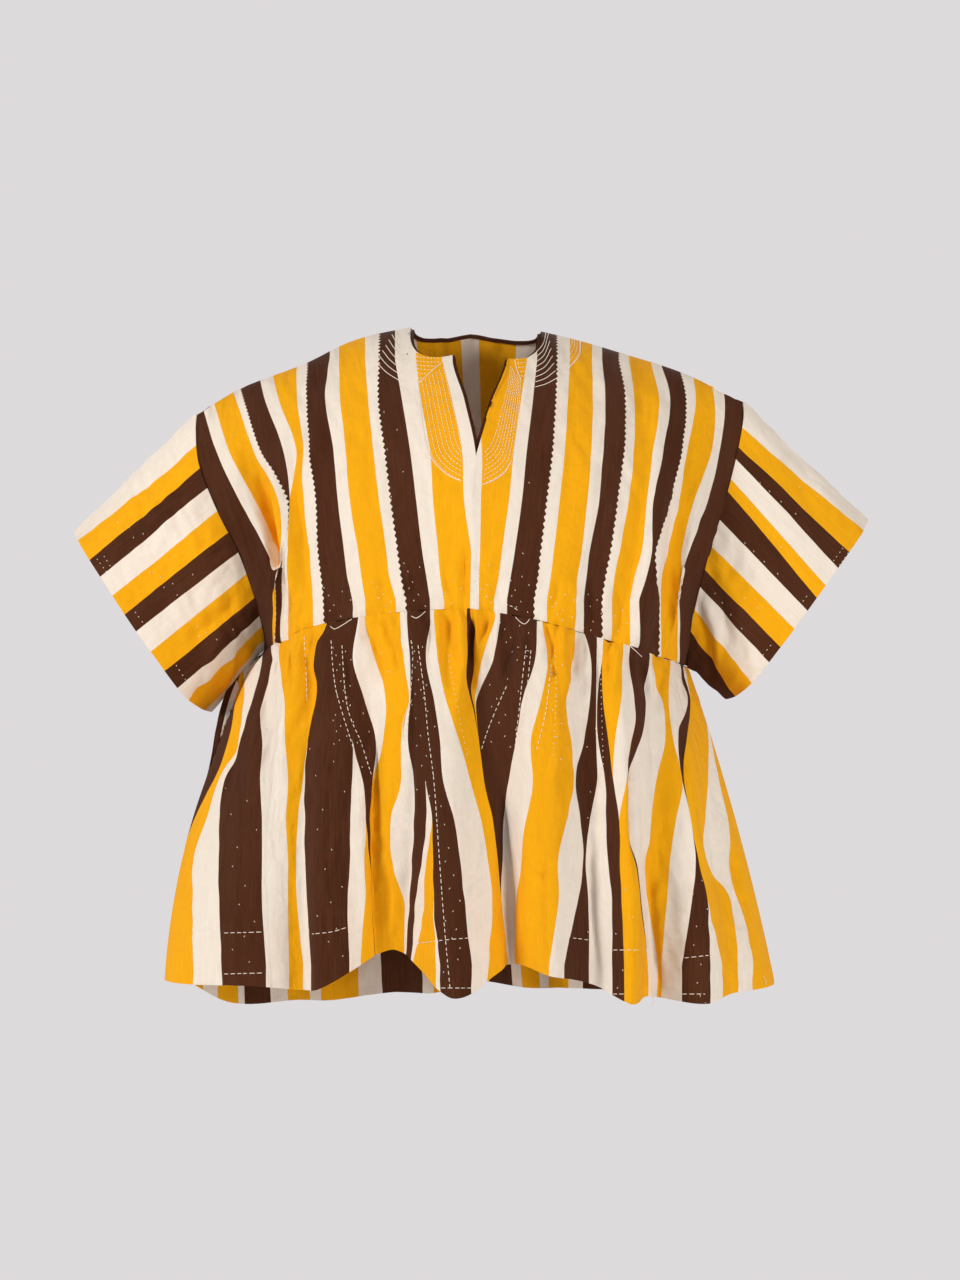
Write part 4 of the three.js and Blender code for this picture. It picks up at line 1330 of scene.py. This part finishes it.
def make_skirt(face):
    cloth = Cloth("smock_skirt_" + face)
    count = round(SKIRT_LENGTH / SKIRT_ROW)
    rows = np.linspace(0, 1, count + 1)
    if face == "front":
        bands = [stripe[0] for stripe in FRONT_STRIPES]
        edges = front_edges(rows)
    else:
        bands, starts = back_stripes()
        edges = np.repeat(starts[None, :], len(rows), axis=0)
    half_hem = HALF_HEM[face]
    across, colours = [], []
    for i, band in enumerate(bands):
        start, end = edges[:, i], edges[:, i + 1]
        steps = max(1, math.ceil(float((end - start).max()) * half_hem / SKIRT_STEP))
        for k in range(steps):
            across.append(start + (end - start) * k / steps)
            colours.append(band)
    across.append(edges[:, -1])
    across = np.array(across).T
    down = np.broadcast_to(rows[:, None], across.shape)
    points = skirt_points(face, across.ravel(), down.ravel()).reshape(*across.shape, 3)
    uvs = np.stack([across * half_hem, -down * SKIRT_LENGTH], axis=-1)
    cloth.fill(cloth.grid(points, uvs), colours)
    return cloth.build(face == "front", front_push if face == "front" else back_push)


# ---------------------------------------------------------------- the neck's facing

# How far the dark facing shows past the cloth's edge, and its lines under the cloth.
FACING_SHOWS = {"slit": 3.3, "front": -1.0, "back": 2.6}
FACING_UNDER = (0, 3, 3.5)
FACING_GAP = 1.0
FACING_SINK = 0.35  # how much further in it lies for each millimetre under the cloth
FACING_STEPS = {"slit": 60, "front": 44, "back": 44}
FACING_APART = 0.3  # points nearer to the last one are left out
FACING_EASING = 6  # passes that even out its width and its normals
NECK_SPACING = 1.5  # puts the points closer together at the neck's sides
FRAME_STEP = {"across": 5, "down": 0.02}  # small steps on the cloth, in millimetres and as a share


def neck_run(part, side):
    """Points along one stretch of the neck's edge, the cloth's normals, and how far the facing shows."""
    share = np.linspace(0, 1, FACING_STEPS[part])
    face = "back" if part == "back" else "front"
    if part == "slit":
        top = NECK_FALL["front"]
        at = SLIT_END + (top - SLIT_END) * share
        u = slit_edge(face, side, at)
    else:
        u = neck_across(side, np.sin((1 - share) * math.pi / 2) ** NECK_SPACING)
        u = np.maximum(u, slit_edge(face, side, np.full_like(u, NECK_FALL["front"])))
        at = neck_edge(face, side, u)
    point = bodice_points(face, side, u, at)
    across = bodice_points(face, side, u + FRAME_STEP["across"], at) - point
    down = bodice_points(face, side, u, at + FRAME_STEP["down"]) - point
    normal = np.cross(across, down)
    normal /= np.linalg.norm(normal, axis=1)[:, None]
    if (SIGN[side] > 0) == (face == "front"):
        normal = -normal
    shows = np.full_like(u, FACING_SHOWS[part])
    order = slice(None, None, -1) if (part == "back") != (side == "right") else slice(None)
    return point[order], normal[order], shows[order]


def make_facing():
    cloth = Cloth("smock_neck_facing")
    order = [("slit", "left"), ("front", "left"), ("back", "left")]
    order += [("back", "right"), ("front", "right"), ("slit", "right")]
    runs = [neck_run(part, side) for part, side in order]
    point, normal, shows = (np.concatenate([run[i] for run in runs]) for i in range(3))
    apart = np.linalg.norm(point - np.roll(point, 1, axis=0), axis=1)
    keep = apart > FACING_APART
    point, normal, shows = point[keep], normal[keep], shows[keep]
    for _ in range(FACING_EASING):
        shows = (np.roll(shows, 1) + shows + np.roll(shows, -1)) / 3
        normal = np.roll(normal, 1, axis=0) + normal + np.roll(normal, -1, axis=0)
        normal /= np.linalg.norm(normal, axis=1)[:, None]
    along = np.roll(point, -1, axis=0) - np.roll(point, 1, axis=0)
    away = np.cross(along, normal)
    away /= np.linalg.norm(away, axis=1)[:, None]
    inside = point - normal * (CLOTH + FACING_GAP)
    widths = np.stack([-shows, -0.5 * shows, *(0 * shows + under for under in FACING_UNDER)], axis=1)
    sunk = FACING_SINK * np.maximum(widths, 0)
    points = inside[:, None, :] + away[:, None, :] * widths[:, :, None]
    points = points - normal[:, None, :] * sunk[:, :, None]
    points = np.concatenate([points, points[:1]])
    run = np.concatenate([[0], np.cumsum(np.linalg.norm(np.diff(points[:, 2], axis=0), axis=1))])
    widths = np.concatenate([widths, widths[:1]])
    uvs = np.stack([np.broadcast_to(run[:, None], widths.shape), widths], axis=-1)
    cloth.fill(cloth.grid(points, uvs), ["brown"] * (widths.shape[1] - 1))

    def push(places, normals):
        return np.where(places[:, 1] < 0, front_push(places, normals), back_push(places, normals))

    return cloth.build(False, push)


# ---------------------------------------------------------------- stitches

TUBE_SIDES = 5
THREAD_RADIUS = 0.42  # millimetres, two threads together
EMBROIDERY_RADIUS = {"fine": 0.34, "whole": 0.4}
# Kinds of stitching: a stitch's length and the gap after it, in millimetres. A whole thread has no gap.
STITCHES = {
    "fine": (2.5, 1.5),
    "running": (3.6, 2.6),
    "hem": (4.6, 3.0),
    "dots": (1.0, 5.2),
    "whole": (1e6, 0),
}
# A stitch has the first share of its kind's length and up to the second one more, and so has a gap.
STITCH_VARIES = (0.85, 0.3)
GAP_VARIES = (0.8, 0.4)
PIXEL_STEP = 0.7  # between two places that are tried along a line of pixels
STITCH_STEP = 1.2  # between two points of a stitch, millimetres
STITCH_START = 0.3  # of the first stitch, millimetres
STITCH_LEAST = 0.8  # what is left of a line when no further stitch begins
# A stitch's height over the cloth, in radii: how far it rises, how deep its ends are, and how round it is.
STITCH_LIFT = {"rise": 1.1, "sunk": 0.4, "round": 0.4}
SPECK = {"run": (0, 0.4, 0.8, 1.2), "lift": (0.0, 0.3, 0.3, 0.0), "radius": 0.36}  # run in pixels
GOLDEN = 0.618034  # steps of the golden ratio spread specks evenly
LOOSE = {"radius": 0.3, "out": 1, "points": 5}  # points for each corner


class Stitches:
    """Cream thread sewn on a piece of cloth along lines of the photograph's pixels."""

    def __init__(self, name, cloth):
        mesh = cloth.data
        corners = [corner.co for corner in mesh.vertices]
        self.tree = BVHTree.FromPolygons(corners, [tuple(face.vertices) for face in mesh.polygons])
        self.name = name
        self.points, self.faces = [], []

    def on_cloth(self, pixels):
        """The cloth's points and normals that are seen at pixels, in millimetres."""
        eye = Vector((EYE["x"], -EYE["back"], EYE["z"]))
        places, normals = [], []
        for px, py in pixels:
            ray = Vector(((px - WIDE / 2) / FOCAL, 1, (HIGH / 2 - py) / FOCAL))
            place, normal, _, _ = self.tree.ray_cast(eye * MM, ray.normalized())
            if place is None:
                continue
            places.append(place / MM)
            normals.append(normal if normal.y < 0 else -normal)
        return np.array(places), np.array(normals)

    def tube(self, path, normals, radius):
        """A closed tube of thread along a path."""
        along = np.gradient(path, axis=0)
        along /= np.linalg.norm(along, axis=1)[:, None]
        side = np.cross(along, normals)
        side /= np.linalg.norm(side, axis=1)[:, None]
        up = np.cross(side, along)
        first = len(self.points)
        for place, aside, above in zip(path, side, up):
            for k in range(TUBE_SIDES):
                turn = 2 * math.pi * k / TUBE_SIDES
                self.points.append(place + radius * (math.cos(turn) * aside + math.sin(turn) * above))
        for r in range(len(path) - 1):
            for k in range(TUBE_SIDES):
                a, b = first + r * TUBE_SIDES + k, first + r * TUBE_SIDES + (k + 1) % TUBE_SIDES
                self.faces.append((a, b, b + TUBE_SIDES, a + TUBE_SIDES))
        self.faces.append(tuple(first + k for k in reversed(range(TUBE_SIDES))))
        last = first + (len(path) - 1) * TUBE_SIDES
        self.faces.append(tuple(last + k for k in range(TUBE_SIDES)))

    def sew(self, kind, line, radius=THREAD_RADIUS):
        """Stitches of a kind along a line of pixels, with a smooth curve between its corners."""
        line = np.array(line, float)
        steps = np.concatenate([[0], np.cumsum(np.hypot(*np.diff(line, axis=0).T))])
        places = np.linspace(0, steps[-1], max(4, int(steps[-1] / PIXEL_STEP)))
        if len(line) > 2:
            pixels = np.stack([curve(steps, line[:, 0], places), curve(steps, line[:, 1], places)], axis=1)
        else:
            pixels = line[0] + (line[1] - line[0]) * (places / steps[-1])[:, None]
        path, normals = self.on_cloth(pixels)
        if len(path) < 3:
            return
        run = np.concatenate([[0], np.cumsum(np.linalg.norm(np.diff(path, axis=0), axis=1))])
        length, gap = STITCHES[kind]
        (least, more), (least_gap, more_gap) = STITCH_VARIES, GAP_VARIES
        start = STITCH_START
        while start < run[-1] - STITCH_LEAST:
            end = min(start + length * (least + more * math.sin(7.3 * start) ** 2), run[-1])
            count = max(4, int((end - start) / STITCH_STEP))
            at = np.linspace(start, end, count)
            share = np.linspace(0, 1, count)
            arch = np.sin(share * math.pi) ** STITCH_LIFT["round"]
            lift = radius * (STITCH_LIFT["rise"] * arch - STITCH_LIFT["sunk"])
            stitch = np.stack([np.interp(at, run, path[:, i]) for i in range(3)], axis=1)
            upward = np.stack([np.interp(at, run, normals[:, i]) for i in range(3)], axis=1)
            self.tube(stitch + upward * lift[:, None], upward, radius)
            start = end + gap * (least_gap + more_gap * math.sin(5.1 * start + 1) ** 2)

    def scatter(self, left, top, right, bottom, count):
        """Small stitches spread unevenly over a box of pixels."""
        for k in range(count):
            px = left + (right - left) * ((k * GOLDEN + 0.13 * math.sin(9.1 * k)) % 1)
            py = top + (bottom - top) * (k + 0.5 + 0.4 * math.sin(5.7 * k)) / count
            lean = 0.7 * math.sin(3.3 * k)
            path, normals = self.on_cloth([(px + lean * t, py + t) for t in SPECK["run"]])
            if len(path) == len(SPECK["run"]):
                self.tube(path + normals * np.array(SPECK["lift"])[:, None], normals, SPECK["radius"])

    def loose(self, line):
        """A loose thread: its first pixel is on the cloth, and the rest hang just in front of that place."""
        path, _ = self.on_cloth([line[0]])
        if not len(path):
            return
        away = (EYE["back"] + path[0][1]) / FOCAL
        points = [path[0]]
        for px, py in line[1:]:
            x = (px - WIDE / 2) * away + EYE["x"]
            z = EYE["z"] + (HIGH / 2 - py) * away
            points.append(np.array([x, path[0][1] - LOOSE["out"], z]))
        points = np.array(points)
        run = np.linspace(0, 1, len(points))
        dense = np.linspace(0, 1, LOOSE["points"] * len(points))
        smooth_path = np.stack([curve(run, points[:, i], dense) for i in range(3)], axis=1)
        self.tube(smooth_path, np.tile([0.0, -1.0, 0.1], (len(dense), 1)), LOOSE["radius"])

    def build(self):
        mesh = bpy.data.meshes.new(self.name)
        mesh.from_pydata([tuple(point * MM) for point in self.points], [], self.faces)
        mesh.materials.append(THREAD)
        bm = bmesh.new()
        bm.from_mesh(mesh)
        bmesh.ops.recalc_face_normals(bm, faces=bm.faces)
        bm.to_mesh(mesh)
        bm.free()
        mesh.polygons.foreach_set("use_smooth", [True] * len(mesh.polygons))
        piece = place_object(self.name, mesh)
        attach(piece, "root")
        return piece


def between(first, last, count):
    """Lines from one line to another, each with the same number of corners."""
    first, last = np.array(first, float), np.array(last, float)
    return [first + (last - first) * k / (count - 1) for k in range(count)]


# Embroidery of the neck, in pixels: fields of rows, each with its kind of stitching, how many rows it has,
# and its first and last row. The others lie between them.
EMBROIDERY = (
    ("fine", 8, ((418, 383), (420, 393), (425, 423), (430, 449), (434, 459), (446, 472), (460, 480)),
     ((443, 367), (446, 378), (451, 400), (457, 425), (460, 440), (461, 444), (461.5, 447))),
    ("fine", 8, ((520.5, 381), (520, 393), (518, 416), (515, 441), (510, 464), (500, 475), (484, 484)),
     ((511, 366), (508, 386), (503, 406), (498, 426), (493, 441), (488, 449), (485, 452))),
    ("fine", 4, ((416, 352.5), (428, 354), (441, 354)), ((416, 365), (428, 366), (438, 366))),
    ("fine", 3, ((416.5, 368.5), (424, 369.5), (433, 370)), ((416.5, 377), (419, 377.5), (422.5, 378))),
    ("fine", 6, ((514.5, 355), (520, 354), (526, 353)), ((520.5, 376), (523, 376), (526, 375.5))),
    ("whole", 7, ((376, 361), (386, 372), (400, 381)), ((395, 329), (398, 336), (400.5, 343))),
    ("whole", 8, ((535, 387), (546, 384), (557, 378)), ((536.5, 352), (543, 344), (547, 326))),
    ("fine", 4, ((580, 340), (578.5, 354), (569, 368)), ((571, 336), (572, 343), (569, 350))),
    ("whole", 1, ((580.5, 341), (579.5, 355), (569, 368)), ((580.5, 341), (579.5, 355), (569, 368))),
)
# Whole threads beside the fields, in pixels.
OUTLINES = (
    ("whole", ((418.2, 384), (420.5, 407), (425, 438), (431.5, 458), (446, 473.5), (461, 481))),
    ("whole", ((418.2, 383.4), (430, 372.5), (441.5, 362.5))),
    ("whole", ((514, 355), (516.5, 368), (521.5, 381))),
    ("whole", ((511, 462), (504, 473), (493, 480.5), (482.5, 484.5))),
)

# Stitches of the skirt, in pixels: by hand at the gather seam, down the strips' joins, and along the hem.
SKIRT_STITCHES = (
    ("whole", ((330, 626), (335, 629), (355, 617))),
    ("whole", ((411, 616), (417, 618), (430, 607))),
    ("whole", ((506, 606), (524, 624), (533, 614))),
    ("whole", ((630, 646), (642, 657))),
    ("running", ((331, 640), (333, 668), (336, 690), (340, 705), (346, 725), (353, 747))),
    ("running", ((342, 645), (344, 680), (347, 705), (352, 722), (360, 740), (372, 777))),
    ("running", ((411, 640), (413, 655), (410, 700), (405, 742))),
    ("running", ((418, 645), (424, 690), (428, 733), (434, 782), (439, 853), (445, 933), (450, 988))),
    ("running", ((506.6, 686), (495, 712), (486, 735), (480.6, 752))),
    ("running", ((526, 645), (519, 711), (515, 748))),
    ("running", ((531, 650), (524.5, 711), (518, 744))),
    ("running", ((551, 664), (546, 710), (536, 752))),
    ("running", ((304, 636), (306, 670), (307, 700))),
    ("dots", ((448, 655), (456, 700), (468, 760))),
    ("dots", ((555, 650), (556, 700), (553, 760))),
    ("dots", ((600, 650), (602, 720), (604, 800))),
    ("hem", ((224, 933), (262, 932))),
    ("hem", ((312, 934), (331, 932), (348, 927))),
    ("hem", ((413, 944), (444, 940), (468, 938))),
    ("hem", ((224, 974), (262, 973))),
    ("hem", ((441, 988), (472, 988))),
    ("hem", ((573, 938), (590, 940))),
    ("hem", ((613, 950), (638, 950))),
    ("hem", ((684, 958), (712, 955))),
    ("hem", ((613, 994), (625, 994))),
    ("hem", ((682, 994), (705, 994))),
    ("hem", ((352, 958), (350, 972))),
)
# Fields of scattered small stitches, in pixels: left, top, right and bottom, and how many there are.
SKIRT_SPECKS = (
    (333, 645, 352, 745, 22),
    (350, 700, 370, 780, 8),
    (412, 640, 428, 700, 12),
    (412, 700, 436, 800, 12),
    (441, 800, 462, 980, 16),
    (500, 620, 530, 660, 10),
    (484, 670, 520, 750, 12),
    (226, 780, 258, 970, 12),
    (310, 740, 346, 970, 14),
    (584, 700, 602, 960, 12),
    (606, 870, 634, 990, 8),
    (364, 640, 390, 700, 6),
    (548, 650, 570, 760, 10),
    (690, 860, 708, 985, 8),
)
BODICE_SPECKS = (
    (324, 585, 352, 622, 8),
    (404, 560, 428, 606, 9),
    (507, 570, 530, 612, 9),
    (588, 590, 602, 634, 6),
    (372, 580, 404, 612, 10),
    (468, 560, 500, 604, 12),
    (546, 590, 575, 620, 10),
    (436, 575, 462, 604, 7),
    (612, 600, 628, 636, 5),
    (384, 400, 404, 560, 7),
    (512, 420, 530, 560, 7),
)
SLEEVE_SPECKS = {
    "left": (
        (118, 520, 190, 545, 8),
        (150, 570, 215, 595, 8),
        (190, 620, 235, 640, 7),
    ),
    "right": (
        (760, 480, 820, 520, 8),
        (745, 540, 800, 580, 8),
        (715, 590, 760, 630, 7),
    ),
}
# Loose threads in pixels, most of them at the hem.
LOOSE_THREADS = (
    ((433, 989), (437, 996), (443, 1001), (449, 1002)),
    ((592, 996), (593, 1003), (590, 1007)),
    ((597, 996), (598, 1004), (601, 1006)),
    ((603, 997), (604, 1003), (603, 1008)),
    ((609, 996), (609, 1004), (612, 1005)),
    ((508, 984), (509, 990), (507, 994)),
    ((366, 962), (369, 968), (367, 974)),
    ((700, 995), (702, 1001), (706, 1003)),
    ((652, 996), (654, 1002), (652, 1006)),
    ((763, 976), (766, 981), (765, 985)),
    ((529, 651), (524, 650), (519, 647)),
    ((412, 700), (406, 712), (402, 730), (404, 740)),
)
# A line of stitches at the bodice's gather seam, and those at the sleeves' cuffs and armhole, in pixels.
BODICE_STITCHES = (
    ("running", ((504, 604), (511, 606), (519, 611))),
)
SLEEVE_STITCHES = {
    "left": (
        ("dots", ((97, 559), (108, 574))),
        ("dots", ((135, 612), (147, 628))),
        ("dots", ((176, 665), (187, 682))),
        ("dots", ((104, 556), (112, 569))),
        ("dots", ((206, 478), (250, 560), (262, 600))),
    ),
    "right": (
        ("dots", ((851, 549), (839, 566))),
        ("dots", ((807, 596), (797, 609))),
        ("dots", ((771, 645), (759, 660))),
        ("dots", ((843, 548), (832, 563))),
    ),
}


def make_stitches():
    neck = Stitches("smock_stitches_bodice", bodice_front)
    for kind, count, first, last in EMBROIDERY:
        for line in between(first, last, max(count, 2))[:count]:
            neck.sew(kind, line, EMBROIDERY_RADIUS[kind])
    for kind, line in (*OUTLINES, *BODICE_STITCHES):
        neck.sew(kind, line)
    for field in BODICE_SPECKS:
        neck.scatter(*field)
    neck.build()
    skirt = Stitches("smock_stitches_skirt", skirt_front)
    for kind, line in SKIRT_STITCHES:
        skirt.sew(kind, line)
    for line in LOOSE_THREADS:
        skirt.loose(line)
    for field in SKIRT_SPECKS:
        skirt.scatter(*field)
    skirt.build()
    for side, sleeve in (("left", sleeve_left), ("right", sleeve_right)):
        cuff = Stitches("smock_stitches_sleeve_" + side, sleeve)
        for kind, line in SLEEVE_STITCHES[side]:
            cuff.sew(kind, line)
        for field in SLEEVE_SPECKS[side]:
            cuff.scatter(*field)
        cuff.build()


# ---------------------------------------------------------------- the smock

make_camera()
make_light()
make_floor()

bodice_front = make_bodice("front")
bodice_back = make_bodice("back")
sleeve_left = make_sleeve("left")
sleeve_right = make_sleeve("right")
skirt_front = make_skirt("front")
skirt_back = make_skirt("back")

neck_facing = make_facing()
make_stitches()

# Each piece of cloth: its node, its flat size in metres, its cut area in square metres, how it is held and
# what it rests on. These are estimates, and the facing's were chosen rather than measured. The facing's were
# chosen so that the sheet's check accepts them.
SHEETS = (
    (bodice_front, "bodice_front", (0.68, 0.36), 0.21, "draped", ()),
    (bodice_back, "bodice_back", (0.68, 0.36), 0.215, "draped", ()),
    (sleeve_left, "sleeve_left", (0.5, 0.2), 0.09, "hung", ("bodice_front", "bodice_back")),
    (sleeve_right, "sleeve_right", (0.5, 0.19), 0.085, "hung", ("bodice_front", "bodice_back")),
    (skirt_front, "skirt_front", (0.95, 0.41), 0.36, "gathered", ("bodice_front",)),
    (skirt_back, "skirt_back", (0.98, 0.45), 0.4, "gathered", ("bodice_back",)),
    (neck_facing, "neck_facing", (0.62, 0.0102), 0.0055, "draped", ("bodice_front", "bodice_back")),
)
for piece, node, cut, area, held, above in SHEETS:
    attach(piece, "root")
    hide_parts(node)
